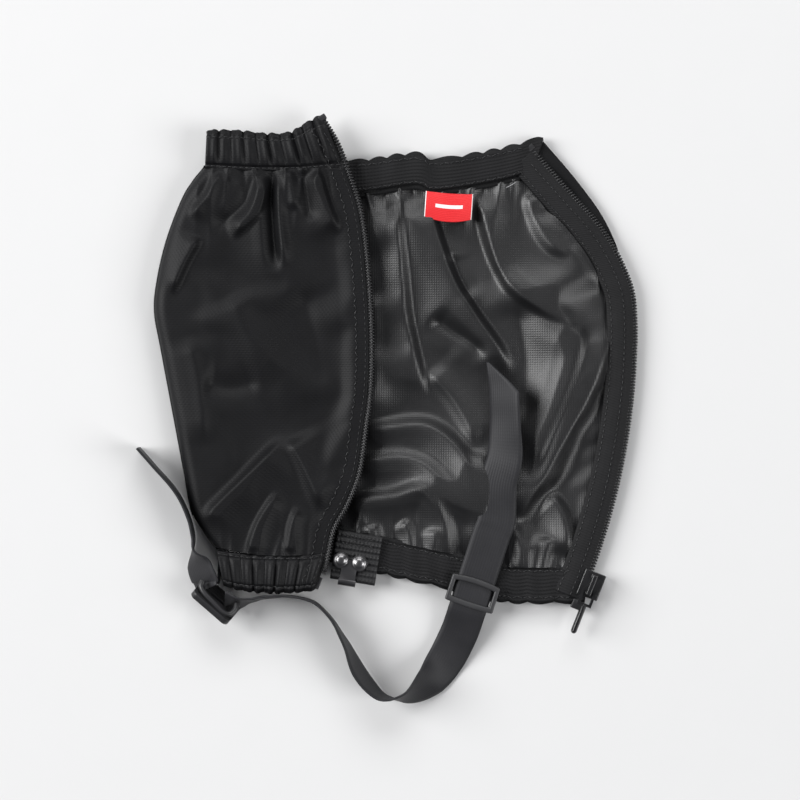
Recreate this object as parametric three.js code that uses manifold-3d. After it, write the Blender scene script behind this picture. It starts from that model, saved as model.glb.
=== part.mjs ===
// A short hiking gaiter, unzipped at the back and laid flat: the sheet is folded once, so the
// lower layer lies with its coated inner face up and the flap lies over it, outer face up.
// Millimetres. X runs across the opened gaiter, Y from the boot hem to the calf band, Z up.
import * as THREE from 'three';
import { mergeVertices } from 'three/addons/utils/BufferGeometryUtils.js';
import Module from 'manifold-3d';

const wasm = await Module();
wasm.setup();

// ---- Overall sizes -------------------------------------------------------------------------
const GAITER_HEIGHT = 242; // calf band edge to boot hem edge
const GAITER_WIDTH = 255; // fold to zip, at the widest
const PATTERN_HEIGHT = 242; // the outline points below are drawn for this height
const PATTERN_WIDTH = 255; // and for this width
const GAP = 0.3; // left between pieces that touch

// ---- Sheet and bands -----------------------------------------------------------------------
const LAYER_LOFT = 7; // how high the folded, gathered lower layer stands
const LAYER_SPACE = 3; // air between the lower layer and the flap
const FLAP_LOFT = 7; // how high the flap stands
const SOFT_EDGE = 1.6; // rounding of a soft edge
const CALF_BAND_DEPTH = 18;
const HEM_DEPTH = 18.5;
const ELASTIC_THICK = 1.5;
const ELASTIC_INSET = 1.2; // from the edges of the band it is sewn to
const CUFF_WALL = 1.7; // gathered cuff fabric round its elastic
const FOLD_LINE_X = -91 * GAITER_WIDTH / PATTERN_WIDTH; // where the flap turns over

// ---- Zip -----------------------------------------------------------------------------------
const TAPE_WIDTH = 14; // shown beside the coil on the lower layer
const FLAP_TAPE_WIDTH = 8; // shown beside the coil under the flap's stitch line
const TAPE_THICK = 1.2;
const COIL_WIDTH = 3.2;
const COIL_THICK = 2.8;
const ZIP_RADIUS = 369; // of the zip's long lower curve
const ZIP_CURVE_DEGREES = 23; // its sweep, from straight up at its top end
const SLIDER_LENGTH = 14;
const SLIDER_PLATE = 1.2;
const SLIDER_RUN_GAP = 0.5; // between the slider and the coil
const SLIDER_LIP = 0.9; // lips that close the slider's two channels
const SLIDER_POST = 1.4; // the wedge between the channels
const SLIDER_DEGREES = 21.5; // where the slider stands on the curve
const PULL_LENGTH = 25;
const PULL_WIRE = 1.4;

// ---- Webbing and hardware ------------------------------------------------------------------
const WEBBING_WIDTH = 20;
const WEBBING_THICK = 1.4;
const TAB_WIDTH = 24;
const TAB_LENGTH = 26;
const TAB_THICK = 1.6;
const RIVET_SPACING = 9.7;
const RIVET_SHANK = 1.5; // radius
const RIVET_HEAD = 3.6; // radius
const HOOK_PLATE = 1;
const HOOK_WIDTH = 9.2;
const HOOK_LENGTH = 10.5; // from the rivets' centres to the curl
const HOOK_CURL = 2.4; // outer radius of the curled lip
const LABEL_WIDTH = 25;
const LABEL_HEIGHT = 13.5;
const LABEL_THICK = 0.8;
const GLIDE_BAR = 3; // width of each bar of the tri-glide
const GLIDE_LENGTH = 15;
const BUCKLE_LENGTH = 19;
const BUCKLE_THICK = 3.4;
const BUCKLE_BAR = 3;
const BUCKLE_TILT = 60; // degrees it stands up from the floor

// ---- Heights worked out from the sizes above -----------------------------------------------
const FLAP_BOTTOM = LAYER_LOFT + LAYER_SPACE;
const FLAP_TOP = FLAP_BOTTOM + FLAP_LOFT;
const BAND_CASING_TOP = LAYER_LOFT - ELASTIC_THICK - GAP;
const TAPE_MIDDLE = LAYER_LOFT * 0.7;
const FLAP_TAPE_MIDDLE = FLAP_BOTTOM + FLAP_LOFT * 0.55;
const RIVET_END = 0.7; // peened end under the tab
const TAB_BOTTOM = LAYER_LOFT + GAP + RIVET_END + GAP;

// ---- Materials -----------------------------------------------------------------------------
const finish = (color, roughness, metalness = 0) => new THREE.MeshStandardMaterial({
  color, roughness, metalness,
});
const OUTER_FABRIC = finish(0x1d1e21, 0.8);
const INNER_COATING = finish(0x2a2b2f, 0.35);
const ELASTIC = finish(0x17181a, 0.9);
const WEBBING = finish(0x2c2c30, 0.6);
const COIL_NYLON = finish(0x121213, 0.4);
const BLACK_PLASTIC = finish(0x222325, 0.45);
const GREY_PLASTIC = finish(0x3a3b3e, 0.45);
const STEEL = finish(0x9a9a9e, 0.3, 1);
const PAINTED_ZINC = finish(0x1b1b1d, 0.35);
const LABEL_RED = finish(0xe4323b, 0.6);

// ---- Helpers -------------------------------------------------------------------------------
const gaiter = new THREE.Group();

/** Adds one named piece to the gaiter. */
function addPiece(name, geometry, material) {
  const mesh = new THREE.Mesh(geometry, material);
  mesh.name = name;
  gaiter.add(mesh);
  return mesh;
}

/** A point of the pattern, stretched to the size that is made. */
function onPattern(x, y) {
  return new THREE.Vector2(x * GAITER_WIDTH / PATTERN_WIDTH, y * GAITER_HEIGHT / PATTERN_HEIGHT);
}

/** A smooth line through pattern points. */
function smoothLine(points, steps) {
  return new THREE.SplineCurve(points.map(([x, y]) => onPattern(x, y))).getPoints(steps);
}

/** A line moved sideways, to the left of its own direction. */
function movedLeft(line, distance) {
  return line.map((point, i) => {
    const before = line[Math.max(i - 1, 0)];
    const after = line[Math.min(i + 1, line.length - 1)];
    const along = after.clone().sub(before).normalize();
    return new THREE.Vector2(point.x - along.y * distance, point.y + along.x * distance);
  });
}

/** A line moved up the pattern. */
function raised(line, distance) {
  return line.map((point) => new THREE.Vector2(point.x, point.y + distance));
}

/** An upright slab of an outline. A soft one has rounded edges inside the same outline. */
function slab(outline, low, high, soft = 0) {
  const geometry = new THREE.ExtrudeGeometry(new THREE.Shape(outline), {
    depth: high - low - 2 * soft,
    bevelEnabled: soft > 0,
    bevelThickness: soft,
    bevelSize: soft,
    bevelOffset: -soft,
    bevelSegments: 2,
  });
  return geometry.translate(0, 0, low + soft);
}

/** The area between two lines that run the same way. */
function between(first, second) {
  return [...first, ...[...second].reverse()];
}

/** Closed geometry as a solid that can be cut and joined. */
function toSolid(geometry) {
  const bare = geometry.clone();
  bare.deleteAttribute('normal');
  bare.deleteAttribute('uv');
  const merged = mergeVertices(bare, 1e-4);
  return new wasm.Manifold(new wasm.Mesh({
    numProp: 3,
    vertProperties: new Float32Array(merged.attributes.position.array),
    triVerts: new Uint32Array(merged.index.array),
  }));
}

/** A cut or joined solid back as geometry. */
function toGeometry(solid) {
  const mesh = solid.getMesh();
  const geometry = new THREE.BufferGeometry();
  geometry.setAttribute('position', new THREE.BufferAttribute(mesh.vertProperties, 3));
  geometry.setIndex(new THREE.BufferAttribute(mesh.triVerts, 1));
  return geometry;
}

/** A box by its middle and its size. */
function block(x, y, z, width, length, height) {
  return toSolid(new THREE.BoxGeometry(width, length, height).translate(x, y, z));
}

/** A flat strap along a route. Each stop is [x, y, z, lean]: lean is how far it stands on edge. */
function strap(stops, steps, width = WEBBING_WIDTH) {
  const middle = new THREE.CatmullRomCurve3(stops.map(([x, y, z]) => new THREE.Vector3(x, y, z)));
  const leans = new THREE.SplineCurve(stops.map((stop, i) => new THREE.Vector2(i, stop[3])));
  const corners = [];
  for (let i = 0; i <= steps; i += 1) {
    const share = i / steps;
    const at = middle.getPoint(share);
    const along = middle.getTangent(share);
    const lean = THREE.MathUtils.degToRad(leans.getPoint(share).y);
    const side = new THREE.Vector3(along.y, -along.x, 0).normalize();
    const across = side.multiplyScalar(Math.cos(lean)).add(new THREE.Vector3(0, 0, Math.sin(lean)));
    across.addScaledVector(along, -across.dot(along)).normalize();
    const face = across.clone().cross(along).normalize();
    for (const [u, v] of [[-1, -1], [1, -1], [1, 1], [-1, 1]]) {
      corners.push(at.clone()
        .addScaledVector(across, u * width / 2)
        .addScaledVector(face, v * WEBBING_THICK / 2));
    }
  }
  return closedTube(corners, 4);
}

/** Skins rings of the same number of corners and closes both ends. */
function closedTube(corners, perRing) {
  const index = [];
  const rings = corners.length / perRing;
  for (let ring = 0; ring < rings - 1; ring += 1) {
    for (let k = 0; k < perRing; k += 1) {
      const a = ring * perRing + k;
      const b = ring * perRing + (k + 1) % perRing;
      index.push(a, a + perRing, b, b, a + perRing, b + perRing);
    }
  }
  const last = corners.length - perRing;
  for (let k = 1; k < perRing - 1; k += 1) {
    index.push(0, k, k + 1);
    index.push(last, last + k + 1, last + k);
  }
  const geometry = new THREE.BufferGeometry().setFromPoints(corners);
  geometry.setIndex(index);
  return geometry;
}

// ---- Lines of the pattern ------------------------------------------------------------------
// The fold, the left edge of the gaiter as it lies, from the boot hem up to the calf band.
const foldEdge = smoothLine([
  [-90, -74], [-97, -64], [-103, -53], [-107, -32], [-113, 0], [-119, 32], [-122.5, 52],
  [-121, 69], [-116, 90], [-108, 111], [-102, 121], [-96, 129], [-95, 138], [-94, 147],
], 40);

// The calf band's edge and its seam on the lower layer, from the fold to the zip.
const calfEdge = smoothLine([
  [-94, 147], [-60, 139], [-22, 132], [14, 136], [26, 133], [58, 138], [80, 144],
], 26);
const calfSeam = raised(calfEdge, -CALF_BAND_DEPTH);

// The boot hem's edge and its seam, from the fold to the zip.
const hemEdge = smoothLine([
  [-90, -74], [-62, -73], [-38, -78], [-5, -86], [12, -90], [30, -94], [60, -101], [72, -102],
  [100, -102],
], 26);
const hemSeam = raised(hemEdge, HEM_DEPTH);

// The zip's coil on the lower layer, from the boot end up: a long arc, then a tighter bend.
const zipArcTop = onPattern(132.5 - COIL_WIDTH / 2, 44);
const zipCentre = new THREE.Vector2(zipArcTop.x - ZIP_RADIUS, zipArcTop.y);
function onZipArc(degrees) {
  const angle = THREE.MathUtils.degToRad(-degrees);
  return new THREE.Vector2(
    zipCentre.x + ZIP_RADIUS * Math.cos(angle),
    zipCentre.y + ZIP_RADIUS * Math.sin(angle),
  );
}
const ZIP_ARC_STEPS = 12;
const zipArc = Array.from({ length: ZIP_ARC_STEPS + 1 }, (_, i) => (
  onZipArc(ZIP_CURVE_DEGREES * (1 - i / ZIP_ARC_STEPS))
));
const zipBend = [[129.5, 62], [124, 77], [117, 90], [109, 101], [100, 111], [91, 121], [77, 137]];
const zipLine = new THREE.SplineCurve([
  ...zipArc, ...zipBend.map(([x, y]) => onPattern(x, y)),
]).getPoints(52);

// The zip's other coil, the free edge of the flap, from the boot end up.
const flapZipLine = smoothLine([
  [-37, -94], [-32, -81], [-28, -63], [-21, -50], [-14.5, -33], [-11, -9], [-8.5, 11], [-8, 41],
  [-10, 76], [-13.5, 104], [-19, 122], [-26, 140], [-33, 152],
], 44);

// Areas that cut the lower layer into its band, its hem and the sheet between.
const FAR = 400;
function sideOf(line, farY) {
  const first = line[0];
  const last = line[line.length - 1];
  return toSolid(slab([
    new THREE.Vector2(-FAR, first.y + 1), ...line, new THREE.Vector2(FAR, last.y + 1),
    new THREE.Vector2(FAR, farY), new THREE.Vector2(-FAR, farY),
  ], -1, 50));
}
const above = (line) => sideOf(line, FAR);
const below = (line) => sideOf(line, -FAR);

// ---- Lower layer ---------------------------------------------------------------------------
/** The whole lower layer's outline, up to the zip tape. */
function lowerOutline() {
  const tapeEdge = movedLeft(zipLine, TAPE_WIDTH + GAP).filter((point) => (
    point.y > hemEdge[hemEdge.length - 1].y && point.y < calfEdge[calfEdge.length - 1].y - 8
  ));
  const hemShown = hemEdge.filter((point) => point.x < tapeEdge[0].x - 1);
  const calfShown = calfEdge.filter((point) => point.x < tapeEdge[tapeEdge.length - 1].x - 1);
  return [...hemShown, ...tapeEdge, ...[...calfShown].reverse(), ...[...foldEdge].reverse().slice(1, -1)];
}

function addLowerLayer() {
  const outline = lowerOutline();
  const layer = toSolid(slab(outline, 0, LAYER_LOFT, SOFT_EDGE));
  const thin = toSolid(slab(outline, 0, BAND_CASING_TOP, SOFT_EDGE));
  const elasticSheet = toSolid(slab(outline, LAYER_LOFT - ELASTIC_THICK, LAYER_LOFT));
  const sheet = layer
    .subtract(above(raised(calfSeam, -GAP)))
    .subtract(below(raised(hemSeam, GAP)));
  addPiece('shell_lower', toGeometry(sheet), INNER_COATING);
  addPiece('calf_band_casing', toGeometry(thin.intersect(above(calfSeam))), OUTER_FABRIC);
  addPiece('hem_casing', toGeometry(thin.intersect(below(hemSeam))), OUTER_FABRIC);
  const calfElastic = elasticSheet
    .intersect(above(raised(calfSeam, ELASTIC_INSET)))
    .subtract(above(raised(calfEdge, -ELASTIC_INSET)));
  const hemElastic = elasticSheet
    .intersect(below(raised(hemSeam, -ELASTIC_INSET)))
    .subtract(below(raised(hemEdge, ELASTIC_INSET)));
  addPiece('calf_elastic', toGeometry(calfElastic), ELASTIC);
  addPiece('hem_elastic', toGeometry(hemElastic), ELASTIC);
}

/** The fold itself, where the sheet turns up and over into the flap. */
function addFold() {
  const inner = foldEdge.filter((point) => point.x < FOLD_LINE_X - GAP - 1);
  const outline = [
    new THREE.Vector2(FOLD_LINE_X - GAP, inner[0].y),
    new THREE.Vector2(FOLD_LINE_X - GAP, inner[inner.length - 1].y),
    ...[...inner].reverse(),
  ];
  addPiece('shell_fold', slab(outline, LAYER_LOFT + GAP, FLAP_TOP - GAP), OUTER_FABRIC);
}

// ---- Flap ----------------------------------------------------------------------------------
const flapCalfEdge = smoothLine([[-91, 146], [-75, 147], [-58, 145], [-44, 145], [-33, 151]], 12);
const flapCalfSeam = smoothLine([[-91, 128], [-70, 126], [-45, 126], [-20, 127]], 8);
const flapHemSeam = smoothLine([[-91, -75], [-70, -76], [-45, -76], [-28, -74]], 8);
const flapHemEdge = smoothLine([[-84.5, -93], [-70, -94.5], [-50, -94.5], [-37, -94]], 8);

/** The part of the flap between its fold line and its zip tape. */
function flapOutline() {
  const tapeEdge = movedLeft(flapZipLine, FLAP_TAPE_WIDTH + GAP);
  const top = flapCalfEdge.filter((point) => point.x < tapeEdge[tapeEdge.length - 1].x - 1);
  const bottom = flapHemEdge.filter((point) => point.x < tapeEdge[0].x - 1);
  return [
    new THREE.Vector2(FOLD_LINE_X, flapHemSeam[0].y + 1),
    onPattern(-85, -80),
    ...bottom,
    ...tapeEdge,
    ...[...top].reverse(),
    new THREE.Vector2(FOLD_LINE_X, flapCalfEdge[0].y),
  ];
}

/** A gathered cuff: fabric all round a flat elastic that runs its length. */
function addCuff(name, blank, area) {
  const cuff = blank.intersect(area);
  const box = cuff.boundingBox();
  const [left, bottom] = box.min;
  const [right, top] = box.max;
  const middleX = (left + right) / 2;
  const middleY = (bottom + top) / 2;
  const middleZ = (FLAP_BOTTOM + FLAP_TOP) / 2;
  const depth = top - bottom - 4 * CUFF_WALL - 4;
  const height = FLAP_LOFT - 2 * CUFF_WALL;
  const tunnel = block(middleX, middleY, middleZ, right - left + 20, depth, height);
  addPiece(`${name}_casing`, toGeometry(cuff.subtract(tunnel)), OUTER_FABRIC);
  const strip = block(middleX, middleY, middleZ, right - left + 20, depth - 2 * GAP, height - 2 * GAP);
  const inside = cuff.intersect(strip);
  addPiece(`${name}_elastic`, toGeometry(inside), ELASTIC);
}

function addFlap() {
  const blank = toSolid(slab(flapOutline(), FLAP_BOTTOM, FLAP_TOP, SOFT_EDGE));
  const panel = blank
    .subtract(above(raised(flapCalfSeam, -GAP)))
    .subtract(below(raised(flapHemSeam, GAP)));
  addPiece('shell_flap', toGeometry(panel), OUTER_FABRIC);
  addCuff('flap_calf_cuff', blank, above(flapCalfSeam));
  addCuff('flap_hem_cuff', blank, below(flapHemSeam));
}

// ---- Zip -----------------------------------------------------------------------------------
/** The tape between the sewn edge and the coil. */
function tapeGeometry(line, width, middle) {
  const inner = movedLeft(line, width);
  const outer = movedLeft(line, COIL_WIDTH / 2 + GAP);
  return slab(between(inner, outer), middle - TAPE_THICK / 2, middle + TAPE_THICK / 2);
}

/** The coil, as the bead that its turns fill. */
function coilGeometry(line, middle) {
  const outline = between(movedLeft(line, COIL_WIDTH / 2), movedLeft(line, -COIL_WIDTH / 2));
  return slab(outline, middle - COIL_THICK / 2, middle + COIL_THICK / 2, COIL_THICK / 4);
}

/** A small block clamped on the tape at the end of a coil. */
function endStop(line, fromEnd, length, width, height, middle) {
  const at = fromEnd ? line[line.length - 1] : line[0];
  const near = fromEnd ? line[line.length - 2] : line[1];
  const away = at.clone().sub(near).normalize();
  const geometry = new THREE.BoxGeometry(width, length, height);
  geometry.rotateZ(Math.atan2(away.y, away.x) - Math.PI / 2);
  const centre = at.clone().addScaledVector(away, length / 2 + GAP);
  return geometry.translate(centre.x, centre.y, middle);
}

const STOP_LENGTH = 3;
const STOP_WIDTH = 4.2;
const STOP_HEIGHT = 3.6;
const PIN_LENGTH = 9;
const PIN_WIDTH = COIL_WIDTH - 1.4;
const BOX_LENGTH = 5;
const BOX_WIDTH = 6;

function addZip() {
  addPiece('zip_tape_right', tapeGeometry(zipLine, TAPE_WIDTH, TAPE_MIDDLE), ELASTIC);
  addPiece('zip_coil_right', coilGeometry(zipLine, TAPE_MIDDLE), COIL_NYLON);
  addPiece('zip_tape_left', tapeGeometry(flapZipLine, FLAP_TAPE_WIDTH, FLAP_TAPE_MIDDLE), ELASTIC);
  addPiece('zip_coil_left', coilGeometry(flapZipLine.slice(3), FLAP_TAPE_MIDDLE), COIL_NYLON);
  addPiece('zip_top_stop_right',
    endStop(zipLine, true, STOP_LENGTH, STOP_WIDTH, STOP_HEIGHT, TAPE_MIDDLE), BLACK_PLASTIC);
  addPiece('zip_top_stop_left',
    endStop(flapZipLine, true, STOP_LENGTH, STOP_WIDTH, STOP_HEIGHT, FLAP_TAPE_MIDDLE), BLACK_PLASTIC);
  addPiece('zip_retainer_box',
    endStop(zipLine, false, BOX_LENGTH, BOX_WIDTH, STOP_HEIGHT, TAPE_MIDDLE), BLACK_PLASTIC);
  const pinLine = flapZipLine.slice(0, 4);
  const pinSides = between(movedLeft(pinLine, PIN_WIDTH / 2), movedLeft(pinLine, -PIN_WIDTH / 2));
  const pinOutline = pinSides.filter((point) => point.y < pinLine[0].y + PIN_LENGTH);
  addPiece('zip_insertion_pin',
    slab(pinOutline, FLAP_TAPE_MIDDLE - 1, FLAP_TAPE_MIDDLE + 1), BLACK_PLASTIC);
}

// The fabric strip that stands out past the coil near the calf band and covers the zip's end.
const WIND_STRIP_WIDTH = 6;
const WIND_STRIP_SPAN = 15; // steps of the zip line it runs beside
function addWindStrip() {
  const side = zipLine.slice(-WIND_STRIP_SPAN);
  const near = movedLeft(side, -COIL_WIDTH / 2 - GAP);
  const far = side.map((_, i) => {
    const width = WIND_STRIP_WIDTH * Math.sin(Math.PI / 2 * Math.min(1, (i + 1) / (side.length - 4)));
    return movedLeft(side, -COIL_WIDTH / 2 - GAP - width)[i];
  });
  addPiece('zip_wind_strip', slab(between(near, far), TAPE_MIDDLE - 1, TAPE_MIDDLE + 1), OUTER_FABRIC);
}

// ---- Slider and pull -----------------------------------------------------------------------
// Both are made round the slider's middle line, with +Y up the zip, then set on the curve.
const COIL_OFFSET = SLIDER_POST / 2 + SLIDER_RUN_GAP + COIL_WIDTH / 2;
const CHANNEL_HEIGHT = COIL_THICK + 2 * SLIDER_RUN_GAP;
const SLIDER_HALF = COIL_OFFSET + COIL_WIDTH / 2 + SLIDER_RUN_GAP + SLIDER_LIP;
const SLIDER_TOP = CHANNEL_HEIGHT / 2 + SLIDER_PLATE;
const BRIDGE_SPAN = 11;
const BRIDGE_BAR = 1.4;
const BRIDGE_CLEAR = 3.8;
const PULL_AXIS_Y = -BRIDGE_SPAN / 2 + BRIDGE_BAR + PULL_WIRE / 2 + SLIDER_RUN_GAP;
const PULL_AXIS_Z = SLIDER_TOP + BRIDGE_CLEAR / 2;

/** Sets a piece that is made at the slider's middle in its place on the zip. */
function setOnZip(geometry) {
  const at = onZipArc(SLIDER_DEGREES);
  const turn = THREE.MathUtils.degToRad(-SLIDER_DEGREES);
  const outward = new THREE.Vector2(Math.cos(turn), Math.sin(turn)).multiplyScalar(COIL_OFFSET);
  geometry.rotateZ(turn);
  return geometry.translate(at.x + outward.x, at.y + outward.y, TAPE_MIDDLE);
}

function addSlider() {
  const width = 2 * SLIDER_HALF;
  const plateZ = CHANNEL_HEIGHT / 2 + SLIDER_PLATE / 2;
  let body = block(0, 0, plateZ, width, SLIDER_LENGTH, SLIDER_PLATE)
    .add(block(0, 0, -plateZ, width, SLIDER_LENGTH, SLIDER_PLATE));
  body = body.add(block(0, SLIDER_LENGTH / 2 - 2, 0, SLIDER_POST, 4, CHANNEL_HEIGHT + 1));
  const lipHeight = (CHANNEL_HEIGHT - TAPE_THICK) / 2 - SLIDER_RUN_GAP;
  for (const side of [-1, 1]) {
    for (const level of [-1, 1]) {
      body = body.add(block(
        side * (SLIDER_HALF - SLIDER_LIP / 2), 0, level * (CHANNEL_HEIGHT / 2 - lipHeight / 2 + 0.1),
        SLIDER_LIP, SLIDER_LENGTH, lipHeight + 0.2,
      ));
    }
  }
  for (const end of [-1, 1]) {
    body = body.add(block(0, end * (BRIDGE_SPAN - BRIDGE_BAR) / 2, SLIDER_TOP + BRIDGE_CLEAR / 2,
      2.4, BRIDGE_BAR, BRIDGE_CLEAR + 0.4));
  }
  body = body.add(block(0, 0, SLIDER_TOP + BRIDGE_CLEAR + BRIDGE_BAR / 2, 2.4, BRIDGE_SPAN, BRIDGE_BAR));
  addPiece('slider_body', setOnZip(toGeometry(body)), PAINTED_ZINC);
}

function addPull() {
  const armX = 3.2;
  const armLength = 8;
  const grip = PULL_LENGTH - armLength;
  let pull = block(0, PULL_AXIS_Y, PULL_AXIS_Z, 2 * armX + PULL_WIRE, PULL_WIRE, PULL_WIRE);
  for (const side of [-1, 1]) {
    pull = pull.add(block(side * armX, PULL_AXIS_Y - armLength / 2, PULL_AXIS_Z,
      PULL_WIRE, armLength + PULL_WIRE, PULL_WIRE));
  }
  const endY = PULL_AXIS_Y - armLength;
  pull = pull.add(block(0, endY, PULL_AXIS_Z, 2 * armX + PULL_WIRE, PULL_WIRE, PULL_WIRE));
  const tongue = new THREE.CapsuleGeometry(1.6, grip - 3.2, 4, 10);
  tongue.scale(1, 1, 1.15);
  tongue.translate(0, endY - grip / 2 + PULL_WIRE / 2, PULL_AXIS_Z + 0.4);
  addPiece('slider_pull', setOnZip(toGeometry(pull.add(toSolid(tongue)))), PAINTED_ZINC);
}

// ---- Hook tab ------------------------------------------------------------------------------
// Made with the seam on the X axis and the tab hanging towards -Y, then turned and set down.
const TAB_TURN = -9.5; // degrees
const TAB_SEAM = onPattern(-14, -65);
const TAB_SIDE_SHIFT = -2.8; // the rivets sit left of the tab's middle
const RIVET_Y = -15.5;

function setTab(geometry) {
  geometry.rotateZ(THREE.MathUtils.degToRad(TAB_TURN));
  return geometry.translate(TAB_SEAM.x, TAB_SEAM.y, TAB_BOTTOM);
}

/** A headed rivet, peened under the tab. */
function rivetGeometry() {
  const plateTop = TAB_THICK + GAP + HOOK_PLATE + GAP;
  const profile = [
    [0, -RIVET_END - GAP], [2.6, -RIVET_END - GAP], [2.6, -GAP], [RIVET_SHANK, -GAP],
    [RIVET_SHANK, plateTop], [RIVET_HEAD, plateTop], [RIVET_HEAD, plateTop + 0.5],
    [RIVET_HEAD * 0.8, plateTop + 1.2], [RIVET_HEAD * 0.4, plateTop + 1.6], [0, plateTop + 1.7],
  ];
  const points = profile.map(([radius, height]) => new THREE.Vector2(radius, height));
  return new THREE.LatheGeometry(points, 20).rotateX(Math.PI / 2);
}

/** The hook: two round ears under the rivets, a waist, and a lip curled up and back. */
function hookGeometry() {
  const ear = RIVET_HEAD + 0.6;
  const half = RIVET_SPACING / 2;
  const plate = new THREE.Shape();
  plate.moveTo(-HOOK_WIDTH / 2, -HOOK_LENGTH);
  plate.lineTo(HOOK_WIDTH / 2, -HOOK_LENGTH);
  plate.quadraticCurveTo(HOOK_WIDTH / 2 - 1.4, -6, half, -2);
  plate.lineTo(half, 2);
  plate.lineTo(0, 0.6);
  plate.lineTo(-half, 2);
  plate.lineTo(-half, -2);
  plate.quadraticCurveTo(-HOOK_WIDTH / 2 + 1.4, -6, -HOOK_WIDTH / 2, -HOOK_LENGTH);
  let solid = toSolid(new THREE.ExtrudeGeometry(plate, {
    depth: HOOK_PLATE, bevelEnabled: false, curveSegments: 5,
  }));
  const curl = new THREE.Shape();
  curl.absarc(0, 0, HOOK_CURL, -Math.PI / 2, Math.PI * 0.62, false);
  curl.absarc(0, 0, HOOK_CURL - HOOK_PLATE, Math.PI * 0.62, -Math.PI / 2, true);
  solid = solid.add(toSolid(curlAcross(curl)));
  for (const side of [-1, 1]) {
    const disc = new THREE.CylinderGeometry(ear, ear, HOOK_PLATE, 20).rotateX(Math.PI / 2);
    solid = solid.add(toSolid(disc.translate(side * half, 0, HOOK_PLATE / 2)));
  }
  return solid;
}

/** The curled lip, drawn in the YZ plane and given the hook's width along X. */
function curlAcross(profile) {
  const lip = new THREE.ExtrudeGeometry(profile, {
    depth: HOOK_WIDTH, bevelEnabled: false, curveSegments: 8,
  });
  lip.translate(0, 0, -HOOK_WIDTH / 2);
  lip.applyMatrix4(new THREE.Matrix4().makeBasis(
    new THREE.Vector3(0, -1, 0), new THREE.Vector3(0, 0, 1), new THREE.Vector3(-1, 0, 0)));
  return lip.translate(0, 0.1 - HOOK_LENGTH, HOOK_CURL);
}

function addHookTab() {
  const half = RIVET_SPACING / 2;
  let tab = block(0, -TAB_LENGTH / 2, TAB_THICK / 2, TAB_WIDTH, TAB_LENGTH, TAB_THICK);
  let hook = hookGeometry().translate([TAB_SIDE_SHIFT, RIVET_Y, TAB_THICK + GAP]);
  for (const side of [-1, 1]) {
    const x = TAB_SIDE_SHIFT + side * half;
    const hole = new THREE.CylinderGeometry(RIVET_SHANK + GAP, RIVET_SHANK + GAP, 12, 16);
    const cutter = toSolid(hole.rotateX(Math.PI / 2).translate(x, RIVET_Y, 0));
    tab = tab.subtract(cutter);
    hook = hook.subtract(cutter);
    const name = side < 0 ? 'hook_rivet_left' : 'hook_rivet_right';
    addPiece(name, setTab(rivetGeometry().translate(x, RIVET_Y, 0)), STEEL);
  }
  addPiece('hook_tab', setTab(toGeometry(tab)), WEBBING);
  addPiece('lace_hook', setTab(toGeometry(hook)), STEEL);
}

// ---- Label ---------------------------------------------------------------------------------
function addLabel() {
  const label = new THREE.BoxGeometry(LABEL_WIDTH, LABEL_HEIGHT, LABEL_THICK);
  label.translate(0, -LABEL_HEIGHT / 2, LABEL_THICK / 2);
  label.rotateZ(THREE.MathUtils.degToRad(-4));
  const bandEdge = onPattern(33.5, 133);
  const top = bandEdge.y - CALF_BAND_DEPTH - GAP;
  addPiece('size_label', label.translate(bandEdge.x, top, LAYER_LOFT + GAP), LABEL_RED);
}

// ---- Tri-glide and instep strap ------------------------------------------------------------
// The tri-glide's centre bar lies under the strap and its two outer bars over it.
const GLIDE_TURN = -18; // degrees
const GLIDE_AT = onPattern(45.2, -96.2);
const GLIDE_BOTTOM = LAYER_LOFT + GAP + 0.1;
const GLIDE_BAR_THICK = 1.5;
const STRAP_ON_GLIDE = GLIDE_BOTTOM + GLIDE_BAR_THICK + GAP + WEBBING_THICK / 2;

function addTriGlide() {
  const outerWidth = WEBBING_WIDTH + 2 * (GLIDE_BAR - 0.6) + 1.4;
  const innerWidth = WEBBING_WIDTH + 1.4;
  const strapSpace = WEBBING_THICK + 2 * GAP;
  const height = 2 * GLIDE_BAR_THICK + strapSpace;
  const frame = block(0, 0, height / 2, outerWidth, GLIDE_LENGTH, height)
    .subtract(block(0, 0, height / 2, innerWidth, GLIDE_LENGTH + 2, height + 2));
  const centre = block(0, 0, GLIDE_BAR_THICK / 2, outerWidth, GLIDE_BAR, GLIDE_BAR_THICK);
  let glide = frame.add(centre);
  for (const end of [-1, 1]) {
    glide = glide.add(block(0, end * (GLIDE_LENGTH - GLIDE_BAR) / 2, height - GLIDE_BAR_THICK / 2,
      outerWidth, GLIDE_BAR, GLIDE_BAR_THICK));
  }
  const geometry = toGeometry(glide).rotateZ(THREE.MathUtils.degToRad(GLIDE_TURN));
  addPiece('tri_glide', geometry.translate(GLIDE_AT.x, GLIDE_AT.y, GLIDE_BOTTOM), GREY_PLASTIC);
}

/** A stop on the straight stretch through the tri-glide, so far up it from the middle. */
function alongGlide(distance, z, lean) {
  const turn = THREE.MathUtils.degToRad(GLIDE_TURN);
  return [GLIDE_AT.x - Math.sin(turn) * distance, GLIDE_AT.y + Math.cos(turn) * distance, z, lean];
}

const WEBBING_SHARE = WEBBING_WIDTH / 20; // of the width the straps' lifts are given for
const STRAIGHT_UP = 31; // straight strap above the tri-glide's middle, room for its slide

/** Height of the strap's middle where it leans and its lower edge rests on the floor. */
function resting(lean) {
  const angle = THREE.MathUtils.degToRad(lean);
  const edge = WEBBING_WIDTH / 2 * Math.abs(Math.sin(angle));
  return edge + WEBBING_THICK / 2 * Math.abs(Math.cos(angle)) + GAP;
}

/** A stop where the strap rests on the floor, at a point of the pattern. */
function onFloor(x, y, lean) {
  const at = onPattern(x, y);
  return [at.x, at.y, resting(lean), lean];
}

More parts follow.
